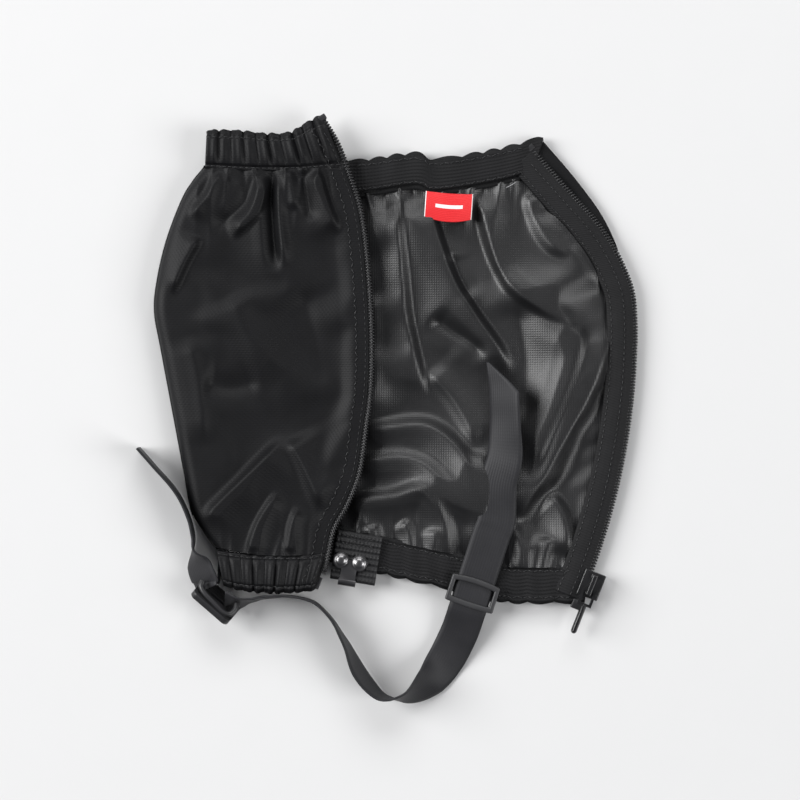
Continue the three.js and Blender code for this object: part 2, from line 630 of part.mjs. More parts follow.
/** A stop where the strap rests on the layer, its middle lifted so far above the tri-glide's. */
function onLayer(x, y, lift, lean) {
  const at = onPattern(x, y);
  return [at.x, at.y, STRAP_ON_GLIDE + lift * WEBBING_SHARE, lean];
}

/** A stop so far from the ladder-lock's middle, which grows with the webbing, at a height. */
function nearBuckle(x, y, z, lean) {
  return [BUCKLE_AT.x + x * WEBBING_SHARE, BUCKLE_AT.y + y * WEBBING_SHARE, z, lean];
}

function addInstepStrap() {
  const stops = [
    alongGlide(STRAIGHT_UP, STRAP_ON_GLIDE, 0),
    alongGlide(15, STRAP_ON_GLIDE, 0),
    alongGlide(0, STRAP_ON_GLIDE, 0),
    alongGlide(-10, STRAP_ON_GLIDE, 0),
    onLayer(38, -118, -4.4, 0),
    onFloor(31, -132, 12),
    onFloor(22, -143.5, 36),
    onFloor(9, -151.5, 72),
    onFloor(-4, -150, 100),
    onFloor(-14.5, -138, 108),
    onFloor(-21, -124.5, 98),
    onFloor(-28, -112, 90),
    onFloor(-38, -101.5, 88),
    onFloor(-53, -98, 86),
    nearBuckle(24, 1.5, resting(84), 84),
    nearBuckle(16, -0.5, resting(84), 84),
  ];
  addPiece('instep_strap', strap(stops, 46), WEBBING);
}

/** The strap's free end over the inner face, leaning up as it goes, with a pointed tip. */
function addStrapTail() {
  const start = alongGlide(STRAIGHT_UP + GAP, STRAP_ON_GLIDE, 0);
  const stops = [
    start,
    alongGlide(STRAIGHT_UP + 10, STRAP_ON_GLIDE + 0.4, 2),
    onLayer(58.5, -40, 1.5, 10),
    onLayer(62, -24, 3.5, 25),
    onLayer(62, -5, 5, 40),
    onLayer(61.5, 12, 5, 40),
    onLayer(60.5, 24, 4.5, 38),
  ];
  const whole = toSolid(strap(stops, 20));
  const tip = onPattern(60.5, 24);
  const corner = toSolid(new THREE.BoxGeometry(20, 40, 40)
    .rotateZ(THREE.MathUtils.degToRad(35))
    .translate(tip.x + 14, tip.y + 2, STRAP_ON_GLIDE));
  addPiece('strap_tail_right', toGeometry(whole.subtract(corner)), WEBBING);
}

// ---- Ladder-lock and the strap's other end -------------------------------------------------
const BUCKLE_AT = onPattern(-90, -100.5);
const BUCKLE_TURN = -41; // degrees, of its bars from the X axis
const BUCKLE_MIDDLE_Z = 10.2;
const LOOP_WIDTH = 8.6;
const LOOP_MIDDLE_Z = FLAP_BOTTOM - LOOP_WIDTH / 2 - 0.1;

/** The ladder-lock, made flat with its bars along X, then stood up and set in place. */
function addLadderLock() {
  const innerWidth = WEBBING_WIDTH + 0.8;
  const outerWidth = innerWidth + 2 * 2;
  const outline = new THREE.Shape();
  const half = outerWidth / 2;
  const reach = BUCKLE_LENGTH / 2;
  const corner = 3;
  outline.moveTo(-half + corner, -reach);
  outline.lineTo(half - corner, -reach);
  outline.absarc(half - corner, -reach + corner, corner, -Math.PI / 2, 0, false);
  outline.lineTo(half, reach - corner);
  outline.absarc(half - corner, reach - corner, corner, 0, Math.PI / 2, false);
  outline.lineTo(-half + corner, reach);
  outline.absarc(-half + corner, reach - corner, corner, Math.PI / 2, Math.PI, false);
  outline.lineTo(-half, -reach + corner);
  outline.absarc(-half + corner, -reach + corner, corner, Math.PI, Math.PI * 1.5, false);
  const plate = new THREE.ExtrudeGeometry(outline, {
    depth: BUCKLE_THICK, bevelEnabled: false, curveSegments: 4,
  });
  let lock = toSolid(plate.translate(0, 0, -BUCKLE_THICK / 2));
  const window = (BUCKLE_LENGTH - 4 * BUCKLE_BAR) / 3;
  for (const step of [-1, 0, 1]) {
    lock = lock.subtract(block(0, step * (window + BUCKLE_BAR), 0, innerWidth, window, 12));
  }
  const geometry = toGeometry(lock);
  geometry.rotateX(THREE.MathUtils.degToRad(180 - BUCKLE_TILT));
  geometry.rotateZ(THREE.MathUtils.degToRad(BUCKLE_TURN));
  addPiece('ladder_lock', geometry.translate(BUCKLE_AT.x, BUCKLE_AT.y, BUCKLE_MIDDLE_Z), BLACK_PLASTIC);
}

/** The short sewn webbing that carries the ladder-lock from the hem. */
function addLadderLockLoop() {
  const sewn = onPattern(-88.2, -75);
  const hanging = onPattern(-88.2, -79);
  const stops = [
    [sewn.x, sewn.y, LOOP_MIDDLE_Z, 90],
    [hanging.x, hanging.y, LOOP_MIDDLE_Z, 90],
    nearBuckle(1.6, 17.5, LOOP_MIDDLE_Z, 90),
    nearBuckle(1.3, 13.5, LOOP_MIDDLE_Z, 90),
    nearBuckle(0.8, 8.9, LOOP_MIDDLE_Z, 90),
  ];
  addPiece('ladder_lock_loop', strap(stops, 8, LOOP_WIDTH), WEBBING);
}

/** The strap's other free end, past the ladder-lock, mostly on edge beside the fold. */
function addLeftTail() {
  const stops = [
    nearBuckle(-6.2, 11.9, resting(45) + 3, 45),
    nearBuckle(-9.4, 19.5, resting(50) + 2, 50),
    nearBuckle(-11.8, 26.5, resting(84), 84),
    nearBuckle(-12, 34, resting(90), 90),
    onFloor(-104, -58, 90),
    onFloor(-107.5, -49, 90),
    onFloor(-115, -38, 90),
    onFloor(-124, -28, 90),
    onFloor(-131, -20, 90),
  ];
  addPiece('strap_tail_left', strap(stops, 24), WEBBING);
}

// ---- The gaiter ----------------------------------------------------------------------------
addLowerLayer();
addFold();
addFlap();
addZip();
addWindStrip();
addSlider();
addPull();
addHookTab();
addLabel();
addTriGlide();
addInstepStrap();
addStrapTail();
addLadderLock();
addLadderLockLoop();
addLeftTail();

// The origin is the middle of the footprint, on the floor.
const bounds = new THREE.Box3().setFromObject(gaiter);
const footprint = bounds.getCenter(new THREE.Vector3());
gaiter.position.set(-footprint.x, -footprint.y, -bounds.min.z);
gaiter.updateMatrixWorld(true);

export default gaiter;
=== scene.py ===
"""A short hiking gaiter, unzipped, folded once and laid flat, seen from straight above.

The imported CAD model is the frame. Every soft piece is made here around it: the coated sheet with
its folds, the gathered cuffs, ribbed elastic, zip coils, webbing and stitching. Lengths below are
in millimetres in the pattern's own coordinates; MM turns them into metres.
"""
import math
from contextlib import contextmanager

import bmesh
import bpy
import numpy as np
from mathutils import Matrix, Vector
from mathutils.bvhtree import BVHTree


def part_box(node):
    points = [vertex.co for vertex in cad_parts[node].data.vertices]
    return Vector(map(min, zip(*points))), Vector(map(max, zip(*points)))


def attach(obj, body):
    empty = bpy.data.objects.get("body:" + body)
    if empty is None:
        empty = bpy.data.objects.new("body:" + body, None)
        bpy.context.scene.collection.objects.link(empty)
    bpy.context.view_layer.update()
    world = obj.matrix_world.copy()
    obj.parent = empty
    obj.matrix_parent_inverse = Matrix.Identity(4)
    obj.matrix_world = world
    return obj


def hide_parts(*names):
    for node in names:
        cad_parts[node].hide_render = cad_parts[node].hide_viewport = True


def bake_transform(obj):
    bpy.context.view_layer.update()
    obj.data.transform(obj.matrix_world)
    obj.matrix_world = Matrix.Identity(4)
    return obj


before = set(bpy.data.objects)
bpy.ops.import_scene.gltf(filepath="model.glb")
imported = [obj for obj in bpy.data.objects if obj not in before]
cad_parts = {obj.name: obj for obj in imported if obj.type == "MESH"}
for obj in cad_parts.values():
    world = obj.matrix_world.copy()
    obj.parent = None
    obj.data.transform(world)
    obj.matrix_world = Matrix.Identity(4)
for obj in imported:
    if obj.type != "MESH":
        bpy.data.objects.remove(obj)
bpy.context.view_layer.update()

MM = 0.001

# ---- Where the pattern lies in the frame ----------------------------------------------------
GLIDE_AT = (45.2, -96.2)  # middle of the tri-glide in the pattern
glide_low, glide_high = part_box("tri_glide")
SHIFT_X = (glide_low[0] + glide_high[0]) / 2 / MM - GLIDE_AT[0]
SHIFT_Y = (glide_low[1] + glide_high[1]) / 2 / MM - GLIDE_AT[1]


def top_of(node):
    """Highest point of a CAD node, in millimetres."""
    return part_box(node)[1][2] / MM


def low_of(node):
    """Lowest point of a CAD node, in millimetres."""
    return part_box(node)[0][2] / MM


LAYER_TOP = top_of("shell_lower")
FLAP_LOW = low_of("shell_flap")
FLAP_TOP = top_of("shell_flap")
TAPE_Z = (low_of("zip_tape_right") + top_of("zip_tape_right")) / 2
FLAP_TAPE_Z = (low_of("zip_tape_left") + top_of("zip_tape_left")) / 2
FOLD_LINE_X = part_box("shell_flap")[0][0] / MM - SHIFT_X

# ---- Sizes that belong to the looks ---------------------------------------------------------
CLOTH = 0.45  # thickness of the coated fabric
CASING = 0.8  # thickness of a casing or a tape
ELASTIC_THICK = 1.1
BAND_DEPTH = 18
HEM_DEPTH = 18.5
TAPE_WIDTH = 14
COIL_WIDTH = 3.2
COIL_PITCH = 1.6
WEBBING = 20
WEBBING_THICK = 1.4
CAMERA_HEIGHT = 1.6
VIEW_WIDTH = 0.424  # metres of floor across the picture
VIEW_CENTRE = (6.9, 5.3)
LOWER_MEAN = LAYER_TOP - 3.4  # height of the lower layer away from its creases
FLAP_MEAN = FLAP_TOP - 2.2
FOLD_LOW = 1.3  # height of the lower layer where it meets the fold


# ---- Lines ----------------------------------------------------------------------------------
def catmull(points, count):
    """Points at even steps of the curve's parameter, on a uniform Catmull-Rom curve."""
    p = np.array(points, dtype=float)
    ends = np.vstack([2 * p[0] - p[1], p, 2 * p[-1] - p[-2]])
    where = np.linspace(0, len(p) - 1 - 1e-9, count)
    i = where.astype(int)
    t = (where - i)[:, None]
    a, b, c, d = ends[i], ends[i + 1], ends[i + 2], ends[i + 3]
    return 0.5 * (2 * b + (c - a) * t + (2 * a - 5 * b + 4 * c - d) * t**2
                  + (3 * b - a - 3 * c + d) * t**3)


def run_along(line):
    """Distance along a line to each of its points."""
    step = np.linalg.norm(np.diff(line, axis=0), axis=1)
    return np.concatenate([[0], np.cumsum(step)])


def unit(rows):
    """Each row of an array as a unit vector."""
    return rows / np.linalg.norm(rows, axis=1)[:, None]


def even(line, count):
    """The same line with points at even distances."""
    run = run_along(line)
    where = np.linspace(0, run[-1], count)
    return np.stack([np.interp(where, run, line[:, k]) for k in range(line.shape[1])], axis=1)


def moved_left(line, distance):
    """A line moved sideways, to the left of its own direction."""
    along = unit(np.gradient(line, axis=0))
    return line + np.stack([-along[:, 1], along[:, 0]], axis=1) * np.reshape(distance, (-1, 1))


def between_y(line, low, high, count):
    """The stretch of a line between two heights of the pattern."""
    dense = even(line, 600)
    return even(dense[(dense[:, 1] >= low) & (dense[:, 1] <= high)], count)


def turned(origin, angle, x, y, *rest):
    """A point given from an origin, along axes turned by an angle."""
    return [origin[0] + x * math.cos(angle) - y * math.sin(angle),
            origin[1] + x * math.sin(angle) + y * math.cos(angle), *rest]


fold_edge = catmull([
    [-90, -74], [-97, -64], [-103, -53], [-107, -32], [-113, 0], [-119, 32], [-122.5, 52],
    [-121, 69], [-116, 90], [-108, 111], [-102, 121], [-96, 129], [-95, 138], [-94, 147]], 200)
calf_edge = catmull([
    [-94, 147], [-60, 139], [-22, 132], [14, 136], [26, 133], [58, 138], [80, 144]], 200)
hem_edge = catmull([
    [-90, -74], [-62, -73], [-38, -78], [-5, -86], [12, -90], [30, -94], [60, -101],
    [72, -102], [100, -102]], 200)

ZIP_RADIUS = 369
ZIP_SWEEP = 23
ARC_TOP = (132.5 - COIL_WIDTH / 2, 44)


def on_zip_arc(degrees):
    """A point of the zip's long lower curve, so many degrees below its top end."""
    angle = math.radians(-degrees)
    return [ARC_TOP[0] - ZIP_RADIUS + ZIP_RADIUS * math.cos(angle),
            ARC_TOP[1] + ZIP_RADIUS * math.sin(angle)]


zip_line = even(catmull(
    [on_zip_arc(ZIP_SWEEP * (1 - i / 12)) for i in range(13)]
    + [[129.5, 62], [124, 77], [117, 90], [109, 101], [100, 111], [91, 121], [77, 137]], 400), 400)
flap_zip_line = even(catmull([
    [-37, -94], [-32, -81], [-28, -63], [-21, -50], [-14.5, -33], [-11, -9], [-8.5, 11], [-8, 41],
    [-10, 76], [-13.5, 104], [-19, 122], [-26, 140], [-33, 152]], 400), 400)


# ---- Meshes ---------------------------------------------------------------------------------
def place(points):
    """Pattern millimetres to frame metres."""
    p = np.array(points, dtype=float)
    return (p + np.array([SHIFT_X, SHIFT_Y, 0])) * MM


def new_object(name, verts, faces, material, uvs=None, smooth=True):
    """A mesh object from metres, with an optional UV for each vertex."""
    mesh = bpy.data.meshes.new(name)
    mesh.from_pydata([tuple(v) for v in verts], [], [tuple(f) for f in faces])
    if uvs is not None:
        layer = mesh.uv_layers.new(name="cloth")
        loop_vertex = np.empty(len(mesh.loops), dtype=np.int32)
        mesh.loops.foreach_get("vertex_index", loop_vertex)
        layer.data.foreach_set("uv", np.asarray(uvs, dtype=np.float32)[loop_vertex].ravel())
    mesh.materials.append(material)
    mesh.polygons.foreach_set("use_smooth", [smooth] * len(mesh.polygons))
    mesh.update()
    thing = bpy.data.objects.new(name, mesh)
    bpy.context.scene.collection.objects.link(thing)
    return thing


def grid_faces(rows, cols, wrap=False):
    """Quads of a grid, closed round its columns when wrap is set."""
    r = np.arange(rows - 1)[:, None] * cols
    c = np.arange(cols if wrap else cols - 1)[None, :]
    d = (c + 1) % cols
    return np.stack([r + c, r + d, r + cols + d, r + cols + c], axis=-1).reshape(-1, 4)


def tube_faces(rings, sides):
    """Faces of a tube of rings, with both ends closed."""
    faces = [list(quad) for quad in grid_faces(rings, sides, wrap=True)]
    faces.append(list(range(sides))[::-1])
    faces.append([(rings - 1) * sides + k for k in range(sides)])
    return faces


@contextmanager
def reworked(mesh):
    """A mesh opened for editing and written back afterwards."""
    work = bmesh.new()
    work.from_mesh(mesh)
    yield work
    work.to_mesh(mesh)
    work.free()


def belongs(thing, body, slot, *nodes):
    """Gives a piece its body and hides the CAD nodes that it stands for. Its kind of material, slot, is
    not used.
    """
    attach(thing, body)
    if nodes:
        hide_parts(*nodes)


def cloth_grid(name, points, material, thick=CLOTH, flip=False):
    """A sheet from a grid of pattern points, given thickness downwards."""
    rows, cols, _ = points.shape
    across = np.cumsum(np.linalg.norm(np.diff(points, axis=1, prepend=points[:, :1]), axis=2), axis=1)
    along = np.cumsum(np.linalg.norm(np.diff(points, axis=0, prepend=points[:1]), axis=2), axis=0)
    uvs = np.stack([across, along], axis=-1).reshape(-1, 2) * MM
    faces = grid_faces(rows, cols)
    if flip:
        faces = faces[:, ::-1]
    thing = new_object(name, place(points.reshape(-1, 3)), faces, material, uvs)
    solid = thing.modifiers.new("thickness", "SOLIDIFY")
    solid.thickness = thick * MM
    solid.offset = -1
    return thing


def soften(thing, width, segments=3):
    """Rounds the edges of a hard piece."""
    bevel = thing.modifiers.new("edges", "BEVEL")
    bevel.width = width * MM
    bevel.segments = segments
    bevel.limit_method = "ANGLE"
    bevel.angle_limit = math.radians(35)
    bevel.harden_normals = True


def moulded_copy(node, name, material, width, body):
    """A hard CAD piece taken over with rounded edges."""
    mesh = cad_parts[node].data.copy()
    mesh.materials.clear()
    mesh.materials.append(material)
    with reworked(mesh) as work:
        bmesh.ops.remove_doubles(work, verts=work.verts, dist=1e-6)
        bmesh.ops.dissolve_limit(work, angle_limit=math.radians(2), verts=work.verts,
                                 edges=work.edges)
    mesh.polygons.foreach_set("use_smooth", [True] * len(mesh.polygons))
    thing = bpy.data.objects.new(name, mesh)
    bpy.context.scene.collection.objects.link(thing)
    soften(thing, width)
    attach(thing, body)
    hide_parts(node)
    return thing


def tube(points, radius, sides=6):
    """Vertices and faces of a round thread along points, all in pattern millimetres."""
    p = np.array(points, dtype=float)
    along = unit(np.gradient(p, axis=0))
    side = np.cross(along, [0.0, 0.0, 1.0])
    side = side / np.maximum(np.linalg.norm(side, axis=1), 1e-6)[:, None]
    lift = np.cross(side, along)
    angle = np.arange(sides) * 2 * math.pi / sides
    ring = (p[:, None] + radius * (np.cos(angle)[None, :, None] * side[:, None]
                                  + np.sin(angle)[None, :, None] * lift[:, None]))
    return ring.reshape(-1, 3), tube_faces(len(p), sides)


# ---- Materials ------------------------------------------------------------------------------
def node(tree, kind, **values):
    """One shader node with some of its inputs set."""
    made = tree.nodes.new(kind)
    for key, value in values.items():
        target = key.replace("_", " ")
        if target in made.inputs:
            made.inputs[target].default_value = value
        else:
            setattr(made, key, value)
    return made


def finish(name, colour, light, rough, rough_spread, sheen=0.0, metallic=0.0, specular=0.5):
    """A Principled material whose colour and roughness vary softly over the piece."""
    material = bpy.data.materials.new(name)
    material.use_nodes = True
    tree = material.node_tree
    link = tree.links.new
    shader = tree.nodes["Principled BSDF"]
    for key, value in (("Metallic", metallic), ("Specular IOR Level", specular),
                       ("Sheen Weight", sheen), ("Sheen Roughness", 0.4)):
        shader.inputs[key].default_value = value
    where = node(tree, "ShaderNodeTexCoord")
    cloud = node(tree, "ShaderNodeTexNoise", Scale=38.0, Detail=5.0, Roughness=0.6)
    link(where.outputs["Object"], cloud.inputs["Vector"])
    ramp = node(tree, "ShaderNodeValToRGB")
    for stop, position, tone in zip(ramp.color_ramp.elements, (0.3, 0.75), (colour, light)):
        stop.position = position
        stop.color = (*tone, 1)
    link(cloud.outputs["Fac"], ramp.inputs["Fac"])
    link(ramp.outputs["Color"], shader.inputs["Base Color"])
    spread = node(tree, "ShaderNodeMapRange", To_Min=rough - rough_spread,
                  To_Max=rough + rough_spread)
    link(cloud.outputs["Fac"], spread.inputs["Value"])
    link(spread.outputs["Result"], shader.inputs["Roughness"])
    return material


def waves(tree, where, period, direction, distortion=0.0):
    """Ridges at a period in millimetres, across one direction of the coordinates."""
    wave = node(tree, "ShaderNodeTexWave", bands_direction=direction,
                Scale=math.pi / (20 * period * MM), Distortion=distortion)
    tree.links.new(where, wave.inputs["Vector"])
    return wave.outputs["Fac"]


def add_bump(material, height, distance):
    """Feeds one more bump in front of those already on the shader."""
    tree = material.node_tree
    shader = tree.nodes["Principled BSDF"]
    bump = node(tree, "ShaderNodeBump", Strength=1.0, Distance=distance * MM)
    tree.links.new(height, bump.inputs["Height"])
    if shader.inputs["Normal"].links:
        tree.links.new(shader.inputs["Normal"].links[0].from_socket, bump.inputs["Normal"])
    tree.links.new(bump.outputs["Normal"], shader.inputs["Normal"])


def combine(tree, first, second, operation):
    """One value out of two."""
    maths = node(tree, "ShaderNodeMath", operation=operation)
    tree.links.new(first, maths.inputs[0])
    tree.links.new(second, maths.inputs[1])
    return maths.outputs[0]


def woven(material, period, depth, diagonal=False):
    """A plain or diagonal weave, with a faint slub along the yarn."""
    tree = material.node_tree
    where = node(tree, "ShaderNodeTexCoord").outputs["Object"]
    warp = waves(tree, where, period, "DIAGONAL" if diagonal else "X", 0.15)
    weft = waves(tree, where, period, "Y", 0.15)
    add_bump(material, combine(tree, warp, weft, "MULTIPLY"), depth)
    slub = node(tree, "ShaderNodeTexNoise", Scale=900.0, Detail=3.0)
    tree.links.new(where, slub.inputs["Vector"])
    add_bump(material, slub.outputs["Fac"], depth * 0.6)
    return material


def ribbed(material, period, depth, direction, cross):
    """Ribs across one UV direction, and a finer weave across the other."""
    tree = material.node_tree
    where = node(tree, "ShaderNodeTexCoord").outputs["UV"]
    ribs = waves(tree, where, period, direction, 0.1)
    add_bump(material, ribs, depth)
    fine = waves(tree, where, cross, "Y" if direction == "X" else "X", 0.1)
    add_bump(material, combine(tree, ribs, fine, "MULTIPLY"), depth * 0.8)
    return material


def speckled(material, scale, depth):
    """A fine moulded or cast grain."""
    tree = material.node_tree
    grain = node(tree, "ShaderNodeTexNoise", Scale=scale, Detail=4.0)
    where = node(tree, "ShaderNodeTexCoord")
    tree.links.new(where.outputs["Object"], grain.inputs["Vector"])
    add_bump(material, grain.outputs["Fac"], depth)
    return material


OUTER = woven(finish("outer_fabric", (0.0036, 0.0036, 0.0042), (0.0060, 0.0061, 0.0070),
                     0.54, 0.05, specular=0.2), 0.62, 0.05, diagonal=True)
COATING = woven(finish("inner_coating", (0.0045, 0.0045, 0.0050), (0.0080, 0.0080, 0.0088),
                       0.43, 0.07, specular=0.62), 0.62, 0.06)
ELASTIC = ribbed(finish("elastic_ribbed", (0.0055, 0.0055, 0.0060), (0.0100, 0.0100, 0.0110),
                        0.75, 0.08, specular=0.25), 0.95, 0.16, "Y", cross=0.9)
BINDING = woven(finish("band_fabric", (0.0048, 0.0049, 0.0054), (0.0082, 0.0083, 0.0092),
                       0.66, 0.08, specular=0.25), 0.8, 0.08)
TAPE = ribbed(finish("zip_tape", (0.0058, 0.0058, 0.0064), (0.0100, 0.0100, 0.0110),
                     0.7, 0.08, specular=0.28), 0.7, 0.07, "X", cross=1.1)
COIL = speckled(finish("coil_nylon", (0.010, 0.010, 0.011), (0.018, 0.018, 0.019),
                       0.34, 0.05, specular=0.5), 2500.0, 0.01)
STRAP = ribbed(finish("strap_webbing", (0.0155, 0.0155, 0.0178), (0.0225, 0.0225, 0.0250),
                      0.55, 0.07, specular=0.3), 0.7, 0.03, "X", cross=0.9)
TAB_WEB = ribbed(finish("tab_webbing", (0.0060, 0.0060, 0.0068), (0.0130, 0.0130, 0.0145),
                        0.6, 0.08, specular=0.4), 1.6, 0.4, "Y", cross=0.95)
PLASTIC = speckled(finish("black_moulding", (0.012, 0.012, 0.013), (0.022, 0.022, 0.024),
                          0.4, 0.06, specular=0.5), 1800.0, 0.03)
GREY = speckled(finish("grey_moulding", (0.026, 0.026, 0.028), (0.040, 0.040, 0.042),
                       0.46, 0.06, specular=0.5), 1800.0, 0.04)
ZINC = speckled(finish("black_enamel", (0.008, 0.008, 0.0085), (0.014, 0.014, 0.015),
                       0.24, 0.04, specular=0.6), 1500.0, 0.02)
DARK_STEEL = speckled(finish("gunmetal", (0.13, 0.128, 0.132), (0.21, 0.207, 0.212),
                             0.33, 0.05, metallic=1.0), 1200.0, 0.008)
RIVET = speckled(finish("rivet_steel", (0.20, 0.197, 0.20), (0.31, 0.305, 0.31),
                        0.3, 0.04, metallic=1.0), 1200.0, 0.008)
LABEL = ribbed(finish("label_satin", (0.66, 0.014, 0.020), (0.76, 0.028, 0.032),
                      0.5, 0.05, sheen=0.1, specular=0.4), 0.45, 0.05, "Y", cross=0.6)
LABEL_PALE = woven(finish("label_pale", (0.78, 0.72, 0.72), (0.88, 0.84, 0.84),
                          0.55, 0.05, sheen=0.1), 0.45, 0.04)
THREAD = finish("black_thread", (0.012, 0.012, 0.013), (0.024, 0.024, 0.026), 0.42, 0.06, sheen=0.05)
PALE_THREAD = finish("pale_thread", (0.30, 0.30, 0.31), (0.42, 0.42, 0.43), 0.6, 0.06, sheen=0.1)


# ---- Folds ----------------------------------------------------------------------------------
CREASE_RADIUS = 1.9  # how roundly the crest of a crease turns


def smoothstep(value, low, high):
    """Rises smoothly from 0 at low to 1 at high."""
    t = np.clip((value - low) / (high - low), 0, 1)
    return t * t * (3 - 2 * t)


def fold(x, y, points, height, left, right, ends=(0.18, 0.25)):
    """A fold along a line. left and right are its widths on either side of its direction, and
    ends the shares of its length over which it rises and dies away."""
    line = even(catmull(points, 60), 60)
    flat = np.stack([x.ravel(), y.ravel()], axis=1)
    best = np.full(len(flat), 1e9)
    sign = np.ones(len(flat))
    share = np.zeros(len(flat))
    for i in range(len(line) - 1):
        a, b = line[i], line[i + 1]
        along = b - a
        length = along @ along
        t = np.clip(((flat - a) @ along) / length, 0, 1)
        gap = flat - (a + t[:, None] * along)
        distance = np.hypot(gap[:, 0], gap[:, 1])
        nearer = distance < best
        best[nearer] = distance[nearer]
        sign[nearer] = np.sign(along[0] * gap[nearer, 1] - along[1] * gap[nearer, 0])
        share[nearer] = (i + t[nearer]) / (len(line) - 1)
    width = np.where(sign > 0, left, right)
    rounded = np.hypot(best, CREASE_RADIUS) - CREASE_RADIUS
    profile = np.exp(-rounded / width) * (1 - smoothstep(best, 2.2 * width, 4 * width))
    fade = smoothstep(share, 0, ends[0]) * (1 - smoothstep(share, 1 - ends[1], 1))
    return (height * profile * fade).reshape(x.shape)


def gathers(x, y, seam, reach, height, spacing, seed):
    """Short uneven pleats that run off a gathered seam. seam gives the seam's y at each x, and
    reach is positive when the pleats run up the pattern."""
    own = np.random.default_rng(seed)
    total = np.zeros_like(x)
    at = x.min() + spacing * 0.4
    while at < x.max():
        lean = own.normal(0, 0.16)
        length = abs(reach) * own.uniform(0.45, 1.25)
        strength = height * own.uniform(0.45, 1.15)
        width = spacing * own.uniform(0.14, 0.3)
        away = (y - seam(x)) * np.sign(reach)
        spot = at + lean * away
        spread = width * (1 + np.clip(away, 0, None) / length)
        near = np.exp(-np.abs(x - spot) / spread)
        die = np.exp(-np.clip(away, 0, None) / length * 1.6)
        total += strength * near * die * np.sign(own.uniform(-0.35, 1))
        at += spacing * own.uniform(0.65, 1.4)
    return total


def seam_height(line):
    """y of a line at each x."""
    order = np.argsort(line[:, 0])
    return lambda x: np.interp(x, line[order, 0], line[order, 1])


calf_seam_y = seam_height(calf_edge - [0, BAND_DEPTH])
hem_seam_y = seam_height(hem_edge + [0, HEM_DEPTH])

# Folds of the lower layer: line, height, width on the left and on the right of its direction.
LOWER_FOLDS = [
    ([[3, 116], [5, 96], [7, 70], [9, 50], [14, 26], [20, 6]], 6.8, 1.2, 15),
    ([[20, 116], [25, 94], [34, 70], [46, 50], [58, 32], [64, 18]], 6.4, 1.2, 11),
    ([[48, 116], [54, 92], [60, 74], [70, 62], [86, 52], [100, 45]], 4.6, 9, 1.6),
    ([[44, 110], [48, 92], [56, 76], [66, 64]], -2.4, 5, 6),
    ([[-8, 64], [-7, 40], [-7, 15], [-11, -6]], 3.6, 5, 12),
    ([[22, 50], [31, 43], [44, 35], [52, 27]], -3.4, 5, 3),
    ([[-18, -14], [-2, -10], [18, -8], [31, -15], [40, -26], [45, -44], [46, -62]], 5.4, 2.2, 9),
    ([[-20, -30], [3, -25], [17, -28], [26, -35], [35, -44], [47, -59]], 4.4, 1.9, 7),
    ([[-24, -49], [2, -46], [18, -42], [26, -50], [31, -64], [34, -84]], 4.2, 1.8, 6),
    ([[103, 46], [98, 28], [92, 10], [82, -12], [74, -34]], 5.6, 1.1, 10),
    ([[120, 46], [114, 30], [106, 12], [92, -14], [78, -39], [67, -62], [62, -82]], 7.0, 3.2, 13),
    ([[84, -44], [90, -50], [94, -60], [96, -78]], 4.4, 1.6, 6),
    ([[66, 60], [70, 40], [72, 14], [70, -14]], -2.6, 8, 8),
    ([[90, 110], [97, 94], [106, 78], [113, 62]], 3.6, 2.0, 8),
    ([[74, 116], [79, 100], [86, 88], [96, 82]], 3.4, 6, 1.6),
    ([[46, -18], [51, -38], [51, -58], [46, -80]], 3.4, 1.6, 6),
    ([[20, 22], [32, 10], [42, -6], [46, -20]], 3.2, 10, 2.0),
    ([[34, 84], [37, 70], [44, 58]], -2.2, 4, 4),
    ([[8, -58], [12, -66], [13, -78]], 3.0, 1.4, 3.4),
    ([[-8, -60], [-6, -68], [-7, -78]], 2.6, 1.4, 3),
    ([[24, -62], [25, -70], [22, -82]], 2.8, 1.4, 3.2),
    ([[66, -60], [70, -70], [70, -88]], 3.0, 3.2, 1.4),
    ([[86, -66], [84, -76], [82, -90]], 2.6, 1.4, 3),
]

# Folds of the flap.
FLAP_FOLDS = [
    ([[-61, 127], [-60.5, 104], [-58, 72]], -6.0, 1.0, 1.8),
    ([[-57.5, 124], [-56, 100], [-53, 74]], 2.4, 1.4, 9),
    ([[-61, 124], [-68, 106], [-83, 90]], 4.2, 1.0, 7),
    ([[-68, 126], [-76, 108], [-92, 94]], -2.6, 3, 2),
    ([[-37, 127], [-32, 110], [-24, 92]], 4.0, 1.0, 6),
    ([[-45, 127], [-42, 112], [-40, 98]], -3.0, 2.0, 1.2),
    ([[-51, 127], [-50, 116], [-48, 104]], 2.6, 1.0, 3),
    ([[-98, 92], [-106, 78], [-114, 60]], 3.6, 1.0, 7),
    ([[-86, 126], [-94, 112], [-104, 100]], 3.0, 5, 1.2),
    ([[-97, 15], [-82, 12], [-66, 15]], -2.4, 9, 4),
    ([[-98, -60], [-76, -38], [-52, -14]], 4.4, 1.6, 13),
    ([[-52, -14], [-42, -32], [-33, -53]], 3.4, 11, 1.8),
    ([[-72, -76], [-67, -60], [-56, -42]], 3.0, 1.0, 6),
    ([[-52, -76], [-50, -62], [-46, -50]], 2.4, 1.0, 4),
    ([[-82, 62], [-70, 36], [-52, 20]], 2.2, 12, 8),
    ([[-104, 40], [-98, 10], [-96, -20]], 2.2, 3, 8),
    ([[-46, 66], [-38, 40], [-34, 8]], -1.8, 10, 7),
]


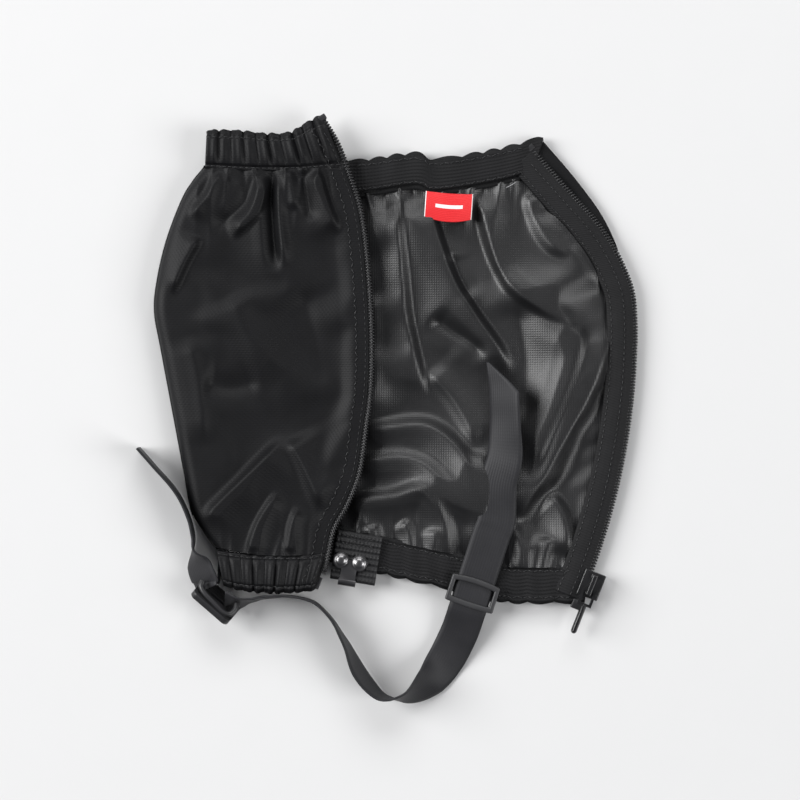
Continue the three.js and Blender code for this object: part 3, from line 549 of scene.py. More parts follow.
def lower_height(x, y, inset):
    """Height of the lower layer. inset is how far a point lies from the fold's edge."""
    z = np.full_like(x, LOWER_MEAN)
    for line, height, left, right in LOWER_FOLDS:
        z = z + fold(x, y, line, height, left, right)
    z = z + gathers(x, y, calf_seam_y, -22, 3.0, 8, 11)
    z = z + gathers(x, y, hem_seam_y, 16, 2.3, 9, 23)
    crest, trough = LAYER_TOP - 1, 1.1  # beyond these the creases are flattened
    z = np.where(z > crest, crest + (z - crest) * 0.55, z)
    z = np.maximum(z, trough + 0.25 * (z - trough))
    near_fold = 1 - smoothstep(inset, 4, 34)
    return z * (1 - near_fold) + FOLD_LOW * near_fold


def flap_height(x, y, inset):
    """Height of the flap's outer face."""
    z = np.full_like(x, FLAP_MEAN)
    for line, height, left, right in FLAP_FOLDS:
        z = z + fold(x, y, line, height, left, right)
    calf = seam_height(np.array([[-96, 127], [-70, 126], [-45, 126], [-18, 127]]))
    hem = seam_height(np.array([[-96, -75], [-70, -76], [-45, -76], [-26, -74]]))
    z = z + gathers(x, y, calf, -24, 2.6, 7, 31)
    z = z + gathers(x, y, hem, 20, 2.4, 7, 37)
    return z


def inset_from_fold(x, y):
    """Distance to the right of the fold's edge."""
    order = np.argsort(fold_edge[:, 1])
    return x - np.interp(y, fold_edge[order, 1], fold_edge[order, 0])


def coons(bottom, top, left, right):
    """A grid between four lines that share their corners."""
    rows, cols = len(left), len(bottom)
    u = np.linspace(0, 1, cols)[None, :, None]
    v = np.linspace(0, 1, rows)[:, None, None]
    ruled_v = bottom[None] * (1 - v) + top[None] * v
    ruled_u = left[:, None] * (1 - u) + right[:, None] * u
    corners = (bottom[0] * (1 - u) * (1 - v) + bottom[-1] * u * (1 - v)
               + top[0] * (1 - u) * v + top[-1] * u * v)
    return ruled_v + ruled_u - corners


FOLD_RADIUS = (FLAP_MEAN - FOLD_LOW) / 2
FOLD_STEPS = 14


def body_patch(cols, rows):
    """Plan of the lower layer between its two seams and from the fold to the zip tape."""
    left = between_y(fold_edge, hem_edge[0, 1] + HEM_DEPTH, calf_edge[0, 1] - BAND_DEPTH, rows)
    right = between_y(moved_left(zip_line, TAPE_WIDTH), hem_edge[-1, 1] + HEM_DEPTH,
                      float(calf_seam_y(68.0)) + 2, rows)
    bottom_x = np.linspace(left[0, 0], right[0, 0], cols)
    bottom = np.stack([bottom_x, hem_seam_y(bottom_x)], axis=1)
    top_x = np.linspace(left[-1, 0], right[-1, 0], cols)
    top = np.stack([top_x, calf_seam_y(top_x)], axis=1)
    bottom[0], bottom[-1] = left[0], right[0]
    top[0], top[-1] = left[-1], right[-1]
    return coons(bottom, top, left, right)


def with_height(plan, height):
    """A plan grid given its heights."""
    x, y = plan[..., 0], plan[..., 1]
    z = height(x, y, inset_from_fold(x, y))
    return np.stack([x, y, z], axis=-1)


def relaxed(points):
    """Evens out a grid's heights a little, so that creases get the small radius that cloth keeps."""
    z = points[..., 2]
    soft = z.copy()
    soft[1:-1, 1:-1] = (z[:-2, 1:-1] + z[2:, 1:-1] + z[1:-1, :-2] + z[1:-1, 2:]) / 4
    out = points.copy()
    out[..., 2] = (z + soft) / 2
    return out


SIM_SCALE = 0.01  # the cloth is simulated at ten times its size, where the solver works well
SIM_FRAMES = 24
SIM_STEP = 3  # only every third point of a sheet takes part
LOWER_GROWTH = 0.02  # how much too large each sheet is for its edges
FLAP_GROWTH = 0.008
SIM_GAP = 0.004  # how far the cloth keeps off what it meets, at that scale
SIM_RULES = {
    "quality": 5, "mass": 0.25, "air_damping": 2,
    "tension_stiffness": 25, "compression_stiffness": 25, "shear_stiffness": 8,
    "bending_stiffness": 12, "pin_stiffness": 1, "vertex_group_mass": "held",
}


def thinned(count):
    """Which of so many points take part in the simulation, the last one always."""
    return np.unique(np.append(np.arange(0, count, SIM_STEP), count - 1))


def settling_floor(floor_z):
    """What a simulated sheet lies on."""
    size = 6.0
    corners = [(-size, -size), (size, -size), (size, size), (-size, size)]
    floor = new_object("settling_floor", [(a, b, floor_z * SIM_SCALE) for a, b in corners],
                       [[0, 1, 2, 3]], OUTER, smooth=False)
    floor.modifiers.new("collision", "COLLISION")
    floor.collision.thickness_outer = SIM_GAP
    return floor


def settling_cloth(coarse, growth, held):
    """The simulated sheet, with the weight that holds each of its points."""
    cloth = new_object("settling_cloth", coarse.reshape(-1, 3) * SIM_SCALE,
                       grid_faces(*coarse.shape[:2]), OUTER)
    group = cloth.vertex_groups.new(name="held")
    for index, weight in enumerate(held.ravel()):
        group.add([index], float(weight), "REPLACE")
    fabric = cloth.modifiers.new("cloth", "CLOTH")
    for key, value in SIM_RULES.items():
        setattr(fabric.settings, key, value)
    fabric.settings.effector_weights.gravity = 0.05
    fabric.settings.shrink_min = -growth
    fabric.settings.shrink_max = -growth
    fabric.collision_settings.distance_min = SIM_GAP
    fabric.collision_settings.use_self_collision = False
    fabric.point_cache.frame_start = 1
    fabric.point_cache.frame_end = SIM_FRAMES
    return cloth


def settled(points, growth, floor_z, held):
    """Cloth simulation: a sheet a little too large for its edges buckles and settles.

    points is a grid, growth how much too large it is, floor_z what it lies on, and held the
    weight with which each point is held in place. The creases drawn in the grid start the folds,
    and the movement of the coarse cloth is added to them."""
    pick_rows, pick_cols = thinned(points.shape[0]), thinned(points.shape[1])
    picked = np.ix_(pick_rows, pick_cols)
    coarse = points[picked]
    cloth = settling_cloth(coarse, growth, held[picked])
    floor = settling_floor(floor_z)
    scene = bpy.context.scene
    for frame_number in range(1, SIM_FRAMES + 1):
        scene.frame_set(frame_number)
    mesh = cloth.evaluated_get(bpy.context.evaluated_depsgraph_get()).to_mesh()
    moved = np.empty(len(mesh.vertices) * 3)
    mesh.vertices.foreach_get("co", moved)
    scene.frame_set(1)
    bpy.data.objects.remove(cloth)
    bpy.data.objects.remove(floor)
    change = moved.reshape(coarse.shape) / SIM_SCALE - coarse
    all_rows, all_cols = np.arange(points.shape[0]), np.arange(points.shape[1])
    out = points.copy()
    for k in range(3):
        down = np.stack([np.interp(all_rows, pick_rows, column) for column in change[..., k].T], axis=1)
        fine = np.stack([np.interp(all_cols, pick_cols, row) for row in down])
        out[..., k] += blurred(fine, 5)
    return out


def blurred(grid, rounds):
    """A grid of values evened out along both its directions."""
    for _ in range(rounds):
        edge = np.pad(grid, 1, mode="edge")
        grid = (edge[:-2, 1:-1] + 2 * edge[1:-1, 1:-1] + edge[2:, 1:-1]) / 4
        edge = np.pad(grid, 1, mode="edge")
        grid = (edge[1:-1, :-2] + 2 * edge[1:-1, 1:-1] + edge[1:-1, 2:]) / 4
    return grid


def border_held(rows, cols, edge):
    """Full hold on a grid's edges, none inside, over so many steps of the grid."""
    r = np.minimum(np.arange(rows), np.arange(rows)[::-1])[:, None]
    c = np.minimum(np.arange(cols), np.arange(cols)[::-1])[None, :]
    return np.clip(1 - np.minimum(r, c) / edge, 0, 1)


def two_faced(thing, back):
    """Gives a settled sheet its other face's material, and subdivides it for smooth creases."""
    thing.data.materials.append(back)
    thing.modifiers["thickness"].material_offset = 1
    soft = thing.modifiers.new("smooth", "SUBSURF")
    soft.levels = soft.render_levels = 1
    thing.modifiers.move(len(thing.modifiers) - 1, 0)


# ---- Lower layer ----------------------------------------------------------------------------
BODY_COLS = 230
BODY_ROWS = 190
FLAT_FROM = 12  # columns of the grid that the turned-up edge takes the place of


def make_lower_sheet():
    """The coated sheet of the lower layer, turned up at the fold to meet the flap."""
    points = relaxed(with_height(body_patch(BODY_COLS, BODY_ROWS), lower_height))
    under_flap = 1 - smoothstep(points[..., 0], -40, -14)
    held = np.maximum(border_held(BODY_ROWS, BODY_COLS, 1.5), under_flap)
    points = settled(points, LOWER_GROWTH, 0.6, held)
    z = np.minimum(points[..., 2], LAYER_TOP + 1.2 + 0.25 * points[..., 2])
    points[..., 2] = np.maximum(z, CLOTH + 0.3)
    turn = []
    for step in range(FOLD_STEPS, 0, -1):
        angle = math.pi / 2 * step / FOLD_STEPS
        ring = points[:, 0].copy()
        ring[:, 0] += FOLD_RADIUS * (1 - math.sin(angle))
        ring[:, 2] = FOLD_LOW + FOLD_RADIUS * (1 - math.cos(angle))
        turn.append(ring)
    flat = points[:, FLAT_FROM:]
    sheet = cloth_grid("lower_sheet", np.concatenate([np.stack(turn, axis=1), flat], axis=1), COATING)
    two_faced(sheet, OUTER)
    belongs(sheet, "root", "inner_coating", "shell_lower")
    return sheet


def band_strip(name, lower, upper, rows, cols, height, material, thick=CASING):
    """A strip between two lines that run the same way, with a height for each point."""
    v = np.linspace(0, 1, rows)[:, None]
    plan = even(lower, cols)[None] * (1 - v[..., None]) + even(upper, cols)[None] * v[..., None]
    z = height(plan[..., 1], plan[..., 0], v * np.ones((1, cols)))
    return cloth_grid(name, np.concatenate([plan, z[..., None]], axis=-1), material, thick)


def band_waves(seed, height):
    """Soft waves along a gathered band."""
    own = np.random.default_rng(seed)
    tones = [(own.uniform(9, 26), own.uniform(0, 6.3), own.uniform(0.4, 1)) for _ in range(6)]

    def wave(x):
        return height * sum(s * np.sin(2 * math.pi * x / w + p) for w, p, s in tones) / 2.4
    return wave


def scallops(x, depth, period, drift):
    """Small bows along a gathered edge, of slowly changing width."""
    return depth * np.abs(np.sin(x / period + 0.8 * np.sin(x / drift)))


def make_band(casing_node, casing_lines, elastic_node, elastic_lines, columns, sunk, swell):
    """A band of the lower layer: a gathered casing and the ribbed elastic sewn on it.

    sunk is how far the elastic's middle lies below the CAD's, and swell gives the height of the
    gathers' waves at each place along the band and each share of its depth."""
    def casing_height(y, x, v):
        return top_of(casing_node) - 0.4 + swell(x, v)

    def elastic_height(y, x, v):
        return top_of(elastic_node) - sunk + swell(x, v) + 0.5 * np.sin(np.pi * v) ** 0.5

    casing = band_strip(f"{casing_node}_cloth", *casing_lines, 14, columns, casing_height, BINDING)
    belongs(casing, "root", "outer_fabric", casing_node)
    elastic = band_strip(f"{elastic_node}_strip", *elastic_lines, 22, columns + 100, elastic_height,
                         ELASTIC, ELASTIC_THICK)
    belongs(elastic, "root", "elastic", elastic_node)
    return casing, elastic


def make_calf_band():
    """The lower layer's calf band."""
    tape = moved_left(zip_line, TAPE_WIDTH - 2)
    end = tape[np.argmin(np.abs(tape[:, 1] - calf_seam_y(70.0)))]
    x = np.linspace(calf_edge[0, 0], 82.5, 400)
    edge_y = seam_height(calf_edge)(x)
    wave = band_waves(5, 0.9)
    scallop = scallops(x, 1.7, 3.9, 9) - 1.0
    top = np.stack([x, edge_y + scallop], axis=1)
    low_x = np.linspace(fold_edge[-22, 0], end[0] + 4, 400)
    low = np.stack([low_x, calf_seam_y(low_x) - 1.5], axis=1)
    elastic_top = np.stack([x, edge_y - 1.0 + scallop * 0.5], axis=1)
    return make_band("calf_band_casing", (low, top), "calf_elastic", (low + [0, 2.6], elastic_top),
                     320, 0.5, lambda along, v: wave(along) * (0.4 + 0.6 * v))


def make_hem():
    """The lower layer's boot hem."""
    x = np.linspace(hem_edge[0, 0], 104.5, 420)
    edge_y = seam_height(hem_edge)(x)
    wave = band_waves(9, 0.7)
    scallop = scallops(x, 1.4, 4.1, 10) - 0.7
    bottom = np.stack([x, edge_y - scallop], axis=1)
    high_x = np.linspace(fold_edge[28, 0], 106.0, 420)
    high = np.stack([high_x, hem_seam_y(high_x) + 1.5], axis=1)
    elastic_low = np.stack([x, edge_y + 0.9 - scallop * 0.6], axis=1)
    return make_band("hem_casing", (bottom, high), "hem_elastic", (elastic_low, high - [0, 2.2]),
                     340, 0.6, lambda along, v: wave(along) * (1 - 0.5 * v))


# ---- Flap -----------------------------------------------------------------------------------
FLAP_COLS = 130
FLAP_ROWS = 210
EDGE_PAST_TAPE = 1.9  # the flap's fabric ends this far inside the coil
CUFF_PLEAT = 1.75
CUFF_CLOTH = 0.5


def make_flap_sheet():
    """The flap, outer face up, turned down at the fold to meet the lower layer."""
    right = between_y(moved_left(flap_zip_line, EDGE_PAST_TAPE), -75.5, 127.5, FLAP_ROWS)
    left = between_y(fold_edge, -72, 127.5, FLAP_ROWS)
    bottom = np.linspace(left[0], right[0], FLAP_COLS)
    bottom[:, 1] -= 3 * np.sin(np.linspace(0, math.pi, FLAP_COLS))
    top = np.linspace(left[-1], right[-1], FLAP_COLS)
    points = with_height(coons(bottom, top, left, right), flap_height)
    inset = inset_from_fold(points[..., 0], points[..., 1])
    round_over = np.clip(1 - inset / FOLD_RADIUS, 0, 1)
    drop = FOLD_RADIUS * (1 - np.sqrt(np.clip(1 - round_over**2, 0, 1)))
    calm = smoothstep(inset, 0, 10)
    z = (FOLD_LOW + 2 * FOLD_RADIUS) * (1 - calm) + points[..., 2] * calm - drop
    edge_gap = points[:, -1:, 0] - points[..., 0]
    flat_edge = 1 - smoothstep(edge_gap, 7, 15)
    points[..., 2] = z * (1 - flat_edge) + (FLAP_TAPE_Z + 1.5) * flat_edge
    held = np.maximum(border_held(FLAP_ROWS, FLAP_COLS, 1.5), 1 - smoothstep(edge_gap, 6, 11))
    held = np.maximum(held, 1 - smoothstep(inset, 12, 34))
    points = settled(relaxed(points), FLAP_GROWTH, FLAP_LOW + 1, held)
    points[..., 2] = np.minimum(points[..., 2], FLAP_TOP + 1.5)
    flap = cloth_grid("flap_sheet", points, OUTER)
    two_faced(flap, COATING)
    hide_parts("shell_flap", "shell_fold")
    return flap


def pleat_waves(pleats, seed, cols):
    """Height of a cuff's pleats at even steps along it: round backs with narrow valleys."""
    own = np.random.default_rng(seed)
    phase = np.cumsum(own.uniform(0.75, 1.3, cols))
    phase = phase / phase[-1] * pleats * 2 * math.pi
    strength = own.uniform(-1, 1, 9)
    strength = 0.75 + 0.35 * np.interp(np.linspace(0, 1, cols), np.linspace(0, 1, 9), strength)
    bulge = np.abs(np.sin(phase / 2)) ** 0.42
    return (1.7 * bulge - 1 + 0.22 * np.sin(1.5 * phase + 1.2)) * strength


def make_cuff(name, edge, seam, pleats, seed):
    """A gathered cuff: an upper and a lower face that meet at the free edge, all in pleats."""
    cols, rows = 260, 40
    edge_line, seam_line = even(edge, cols), even(seam, cols)
    wave = pleat_waves(pleats, seed, cols)
    v = np.linspace(0, 1, rows)[:, None]
    outward = unit(edge_line - seam_line)
    ruffle = 1.2 * wave[None, :, None] * smoothstep(v, 0.75, 1)[..., None]
    plan = seam_line[None] * (1 - v[..., None]) + edge_line[None] * v[..., None] + outward[None] * ruffle
    puff = np.sin(v * math.pi) ** 0.45 * (0.55 + 0.45 * smoothstep(v, 0, 0.14))
    half = (2.6 * puff + 0.5) * (1 - smoothstep(v, 0.86, 1)) + 0.25
    stitched = sum(np.exp(-((v - at) / width) ** 2) for at, width in ((0.1, 0.035), (0.84, 0.03)))
    middle = (low_of(name + "_casing") + top_of(name + "_casing")) / 2
    pleated = middle + CUFF_PLEAT * wave[None] * (0.35 + 0.65 * smoothstep(v, 0.05, 0.4))
    upper_z, lower_z = (pleated + side * (half - 0.8 * stitched) for side in (1, -1))
    upper_points = np.concatenate([plan, upper_z[..., None]], axis=-1)
    upper = cloth_grid(name, upper_points, OUTER, CUFF_CLOTH)
    lower = cloth_grid(name + "_back", np.concatenate([plan, lower_z[..., None]], axis=-1), OUTER,
                       CUFF_CLOTH, flip=True)
    belongs(upper, "flap", "outer_fabric", name + "_casing")
    belongs(lower, "flap", "outer_fabric", name + "_elastic")
    return upper, upper_points


def make_cuffs():
    """Both cuffs of the flap."""
    right = moved_left(flap_zip_line, EDGE_PAST_TAPE)
    calf_x, hem_x = (right[np.argmin(np.abs(right[:, 1] - y)), 0] for y in (127.5, -76))
    calf_edge_line = [[-94.5, 146.5], [-86, 147], [-75, 146.5], [-62, 145], [-50, 146],
                      [-43, 150.5], [-33.6, 155.2]]
    calf_seam = [[-95.5, 127], [-70, 125.6], [-45, 125.8], [calf_x, 127]]
    hem_edge_line = [[-85.5, -92], [-76, -94.5], [-62, -95.5], [-50, -95.5], [right[2, 0], -94.5]]
    hem_seam = [[-89, -74], [-70, -76], [-45, -76.4], [hem_x, -75]]
    return {"calf": make_cuff("flap_calf_cuff", catmull(calf_edge_line, 200),
                              catmull(calf_seam, 200), 10, 3),
            "hem": make_cuff("flap_hem_cuff", catmull(hem_edge_line, 200),
                             catmull(hem_seam, 200), 9, 4)}


# ---- Zip ------------------------------------------------------------------------------------
def helix(line, z):
    """A coil of nylon wound along a line at the zip's pitch."""
    per_turn = 12
    count = int(run_along(line)[-1] / COIL_PITCH) * per_turn
    path = even(line, count)
    along = unit(np.gradient(path, axis=0))
    angle = np.arange(count) * 2 * math.pi / per_turn
    out = np.cos(angle) * (COIL_WIDTH / 2 - 0.3)
    up = np.sin(angle) * 1.05
    return np.stack([path[:, 0] + along[:, 1] * out, path[:, 1] - along[:, 0] * out, z + up], axis=1)


def make_coil(name, line, z, body, node_name):
    """A zip coil and the cord that it is sewn round."""
    verts, faces = tube(helix(line, z), 0.42, 6)
    core, core_faces = tube(np.column_stack([line, np.full(len(line), z)])[::3], 0.75, 8)
    faces = faces + [[k + len(verts) for k in face] for face in core_faces]
    thing = new_object(name, place(np.vstack([verts, core])), faces, COIL)
    belongs(thing, body, "zip_coil", node_name)


def make_tapes():
    """The woven tapes beside the coils."""
    wave = band_waves(15, 0.28)

    def crowned(y, x, v):
        return TAPE_Z + 0.5 + 1.26 * np.sin(math.pi * (1 - v)) ** 0.8 + wave(y) * (1 - v)

    def level(y, x, v):
        return FLAP_TAPE_Z + 0.1 + 0 * v

    right = band_strip("zip_tape_right_woven", moved_left(zip_line, TAPE_WIDTH + 0.3),
                       moved_left(zip_line, 0.6), 22, 420, crowned, TAPE)
    left = band_strip("zip_tape_left_woven", moved_left(flap_zip_line, 9.5),
                      moved_left(flap_zip_line, 0.6), 10, 300, level, TAPE)
    belongs(right, "root", "zip_tape", "zip_tape_right")
    belongs(left, "flap", "zip_tape", "zip_tape_left")
    return right


# ---- Straps ---------------------------------------------------------------------------------
def strap_frame(stops, steps):
    """Middle line of a strap along stops of [x, y, z, lean], the same curve as the CAD strap's,
    with the directions across it and out of its face."""
    table = catmull(stops, steps)
    at, lean = table[:, :3], np.radians(table[:, 3])
    along = unit(np.gradient(at, axis=0))
    side = unit(np.stack([along[:, 1], -along[:, 0], np.zeros(len(at))], axis=1))
    across = side * np.cos(lean)[:, None] + np.array([0, 0, 1.0]) * np.sin(lean)[:, None]
    across = unit(across - along * np.sum(across * along, axis=1)[:, None])
    return at, across, np.cross(across, along)


def make_strap(name, stops, steps, nodes, width=WEBBING, taper=None):
    """A flat woven strap with rounded selvedges. taper gives its two edges at each distance."""
    at, across, face = strap_frame(stops, steps)
    ripple = 0.16 * np.sin(np.arange(len(at)) / 3.1) * np.sin(np.arange(len(at)) / 17)
    at = at + face * ripple[:, None]
    run = run_along(at)
    section = [(u, 1) for u in np.linspace(-1, 1, 11)] + [(u, -1) for u in np.linspace(1, -1, 11)]
    verts, uvs = [], []
    for i in range(len(at)):
        left, right = taper(run[i], width / 2) if taper else (-width / 2, width / 2)
        for u, v in section:
            offset = (left + right) / 2 + u * (right - left) / 2
            rim = 0.55 if abs(u) > 0.99 else 1.0
            verts.append(at[i] + across[i] * offset + face[i] * v * WEBBING_THICK / 2 * rim)
            uvs.append((offset * MM, run[i] * MM))
    thing = new_object(name, place(verts), tube_faces(len(at), len(section)), STRAP, uvs)
    fix_normals(thing)
    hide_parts(*nodes)
    return thing


def fix_normals(thing):
    """Turns every face outwards."""
    with reworked(thing.data) as work:
        bmesh.ops.recalc_face_normals(work, faces=work.faces)


GLIDE_TURN = math.radians(-18)
GLIDE_BAR = 1.5  # thickness of the tri-glide's bar under the strap
STRAP_GAP = 0.3
STRAP_Z = low_of("tri_glide") + GLIDE_BAR + STRAP_GAP + WEBBING_THICK / 2
STRAIGHT_UP = 31  # how far the strap runs straight above the tri-glide's middle


def along_glide(distance, z, lean):
    """A stop on the straight stretch of strap through the tri-glide."""
    return turned(GLIDE_AT, GLIDE_TURN, 0, distance, z, lean)


def on_floor(x, y, lean):
    """A stop where the strap's lower edge rests on the floor."""
    angle = math.radians(lean)
    z = WEBBING / 2 * abs(math.sin(angle)) + WEBBING_THICK / 2 * abs(math.cos(angle)) + STRAP_GAP
    return [x, y, z, lean]


def make_straps():
    """The instep strap with its right tail as one length of webbing, and its left free end."""
    tail = [
        [60.5, 26, STRAP_Z + 4.5, -38], [61.5, 12, STRAP_Z + 5, -40], [62, -5, STRAP_Z + 5, -40],
        [62, -24, STRAP_Z + 3.5, -25], [58.5, -40, STRAP_Z + 1.5, -10],
        along_glide(STRAIGHT_UP + 10, STRAP_Z + 0.4, -2)]
    arc = [
        along_glide(STRAIGHT_UP, STRAP_Z, 0), along_glide(15, STRAP_Z, 0),
        along_glide(0, STRAP_Z, 0), along_glide(-10, STRAP_Z, 0), [38, -118, 5.5, 0],
        on_floor(31, -132, 12), on_floor(22, -143.5, 36), on_floor(9, -151.5, 72),
        on_floor(-4, -150, 100), on_floor(-14.5, -138, 108), on_floor(-21, -124.5, 98),
        on_floor(-28, -112, 90), on_floor(-38, -101.5, 88), on_floor(-53, -98, 86),
        on_floor(-66, -99, 84), on_floor(-73, -100.5, 80), [-79.5, -101.8, 10.4, 66],
        [-85.5, -101.6, 10.8, 48]]

    def pointed(run, half):
        cut = max(0.0, 1 - run / 17)
        return -half + cut * (2 * half - 1.5), half

    strap = make_strap("instep_strap_webbing", tail + arc, 400,
                       ["instep_strap", "strap_tail_right"], taper=pointed)
    tuple(place([along_glide(STRAIGHT_UP - 1, STRAP_Z, 0)[:3]])[0])
    tuple(place([along_glide(STRAIGHT_UP + 8, STRAP_Z, 0)[:3]])[0])
    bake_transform(strap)
    left = [
        [-94.2, -94.0, 10.8, 56], [-95.2, -91.4, 10.6, 50],
        [-96.2, -88.6, on_floor(0, 0, 45)[2] + 3, 45], [-99.4, -81, on_floor(0, 0, 50)[2] + 2, 50],
        on_floor(-101.8, -74, 84), on_floor(-102, -66.5, 90), on_floor(-104, -58, 90),
        on_floor(-107.5, -49, 90), on_floor(-115, -38, 90), on_floor(-124, -28, 90),
        on_floor(-131, -20, 90)]
    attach(make_strap("strap_tail_left_webbing", left, 110, ["strap_tail_left"]), "tail_left")
    loop = [[-88.2, -75, 5.6, 90], [-88.2, -79, 5.6, 90], [-88.4, -83, 5.6, 90],
            [-88.7, -87, 5.6, 90], [-89.2, -91.6, 5.6, 90]]
    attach(make_strap("ladder_lock_loop_webbing", loop, 30, ["ladder_lock_loop"], width=8.6), "root")


# ---- Hardware -------------------------------------------------------------------------------
HARD_PIECES = [  # CAD node, name, material, radius of its edges, body
    ("slider_body", "slider_cast_body", ZINC, 0.45, "slider"),
    ("slider_pull", "slider_cast_pull", ZINC, 0.35, "pull"),
    ("tri_glide", "tri_glide_frame", GREY, 0.75, "tri_glide"),
    ("ladder_lock", "ladder_lock_frame", PLASTIC, 0.7, "ladder_lock"),
    ("lace_hook", "lace_hook_plate", DARK_STEEL, 0.3, "hook_tab"),
    ("zip_retainer_box", "zip_retainer_block", PLASTIC, 0.5, "root"),
    ("zip_top_stop_right", "zip_stop_right", PLASTIC, 0.5, "root"),
    ("zip_top_stop_left", "zip_stop_left", PLASTIC, 0.5, "flap"),
    ("zip_insertion_pin", "zip_pin_left", PLASTIC, 0.4, "flap"),
]


def make_hardware():
    """Hard pieces: rounded copies of the CAD pieces, and the buckle's and hook's own parts."""
    for piece in HARD_PIECES:
        moulded_copy(*piece)
    arch_bars(bpy.data.objects["tri_glide_frame"])
    make_ladder_lock_rim()
    make_ladder_lock_grip()
    make_rivet("hook_rivet_left")
    make_rivet("hook_rivet_right")


def make_ladder_lock_rim():
    """The ladder-lock's thick outer bar with its turned-up ends."""
    path = even(catmull([
        [-96.6, -89.6, 15.2], [-97.3, -92.6, 16.2], [-95.4, -96.2, 17.0], [-90.8, -101.0, 17.4],
        [-86.0, -105.8, 17.0], [-82.6, -107.0, 16.2], [-79.8, -105.0, 15.0], [-78.6, -101.6, 13.6]],
        80), 80)
    verts, faces = tube(path, 1.55, 16)
    belongs(new_object("ladder_lock_rim", place(verts), faces, PLASTIC), "ladder_lock", "black_plastic")


def make_ladder_lock_grip():
    """The ribbed grip under the ladder-lock's outer bar."""
    turns, steps = 28, 20
    middle, slope = (-93.0, -103.0, 8), (0.75, 0.66)
    length, half_width, half_height = 11, 3.1, 3.3
    grip = []
    for share in np.linspace(0, 1, steps):
        along = (share - 0.5) * length
        swell = math.sqrt(max(0.02, 1 - (2 * share - 1) ** 2)) * (1 + 0.07 * math.cos(share * 44))
        for angle in np.arange(turns) * 2 * math.pi / turns:
            out, up = half_width * swell * math.cos(angle), half_height * swell * math.sin(angle)
            grip.append([middle[0] + along * slope[0] - out * slope[1],
                         middle[1] - along * slope[1] - out * slope[0], middle[2] + up])
    lump = new_object("ladder_lock_grip", place(grip), tube_faces(steps, turns), PLASTIC)
    fix_normals(lump)
    belongs(lump, "ladder_lock", "black_plastic")


def arch_bars(frame_piece):
    """Bows the tri-glide's two outer bars, cut finely so that they bend in a curve."""
    half_length, bar_from, cut_step = 13 * MM, 4 * MM, 2.4 * MM
    upper_bow, lower_bow, upper_drop = 1.2 * MM, -0.5 * MM, 0.9 * MM
    spin = Matrix.Rotation(-GLIDE_TURN, 3, "Z")
    back = spin.inverted()
    centre = Vector(place([[*GLIDE_AT, 0]])[0])
    normal = back @ Vector((1, 0, 0))
    with reworked(frame_piece.data) as work:
        for k in range(-5, 6):
            every = work.verts[:] + work.edges[:] + work.faces[:]
            bmesh.ops.bisect_plane(work, geom=every, plane_co=centre + normal * (k * cut_step),
                                   plane_no=normal)
        for vertex in work.verts:
            local = spin @ (vertex.co - centre)
            upper = local.y > 0
            if abs(local.y) > bar_from:
                share = max(0.0, 1 - (local.x / half_length) ** 2)
                local.y += upper_bow * share - upper_drop if upper else lower_bow * share
            vertex.co = back @ local + centre


def make_rivet(node_name):
    """A turned rivet with a domed head and a rolled rim."""
    low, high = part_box(node_name)
    middle_x, middle_y = (low[0] + high[0]) / 2, (low[1] + high[1]) / 2
    tall = (high[2] - low[2]) / MM
    profile = [(0, 0), (2.4, 0), (2.6, 0.3), (2.5, 0.7), (1.5, 0.75), (1.5, tall - 1.72),
               (3.35, tall - 1.7), (3.6, tall - 1.45), (3.55, tall - 1.1), (3.3, tall - 0.95),
               (2.95, tall - 1.0), (2.7, tall - 0.7), (2.0, tall - 0.25), (1.1, tall - 0.04),
               (0, tall)]
    sides = 48
    verts = []
    for radius, height in profile:
        for angle in np.arange(sides) * 2 * math.pi / sides:
            verts.append((middle_x + radius * MM * math.cos(angle),
                          middle_y + radius * MM * math.sin(angle), low[2] + height * MM))
    thing = new_object(node_name + "_turned", verts, grid_faces(len(profile), sides, wrap=True), RIVET)
    with reworked(thing.data) as work:
        bmesh.ops.remove_doubles(work, verts=work.verts, dist=1e-7)
        bmesh.ops.recalc_face_normals(work, faces=work.faces)
    belongs(thing, "hook_tab", "steel", node_name)


TAB_TURN = math.radians(-9.5)
TAB_SEAM = (-14, -65)
TAB_WIDTH = 24
TAB_LENGTH = 26


def on_tab(x, y, z):
    """A point given from the hook tab's seam, with the tab hanging towards -Y."""
    return turned(TAB_SEAM, TAB_TURN, x, y, z)


def make_hook_tab():
    """The ribbed webbing tab under the lace hook."""
    low, high = low_of("hook_tab"), top_of("hook_tab")
    top = []
    for y in np.linspace(-TAB_LENGTH, 0, 60):
        row = []
        for x in np.linspace(-TAB_WIDTH / 2, TAB_WIDTH / 2, 30):
            corner = 0.35 * math.cos(math.pi * x / TAB_WIDTH) + 0.1 * math.sin(y * 1.3)
            row.append(on_tab(x, y, high - 0.35 + corner * 0.5))
        top.append(row)
    tab = cloth_grid("hook_tab_webbing", np.array(top), TAB_WEB, high - low - 0.2)
    soften(tab, 0.3, 2)
    belongs(tab, "hook_tab", "webbing", "hook_tab")


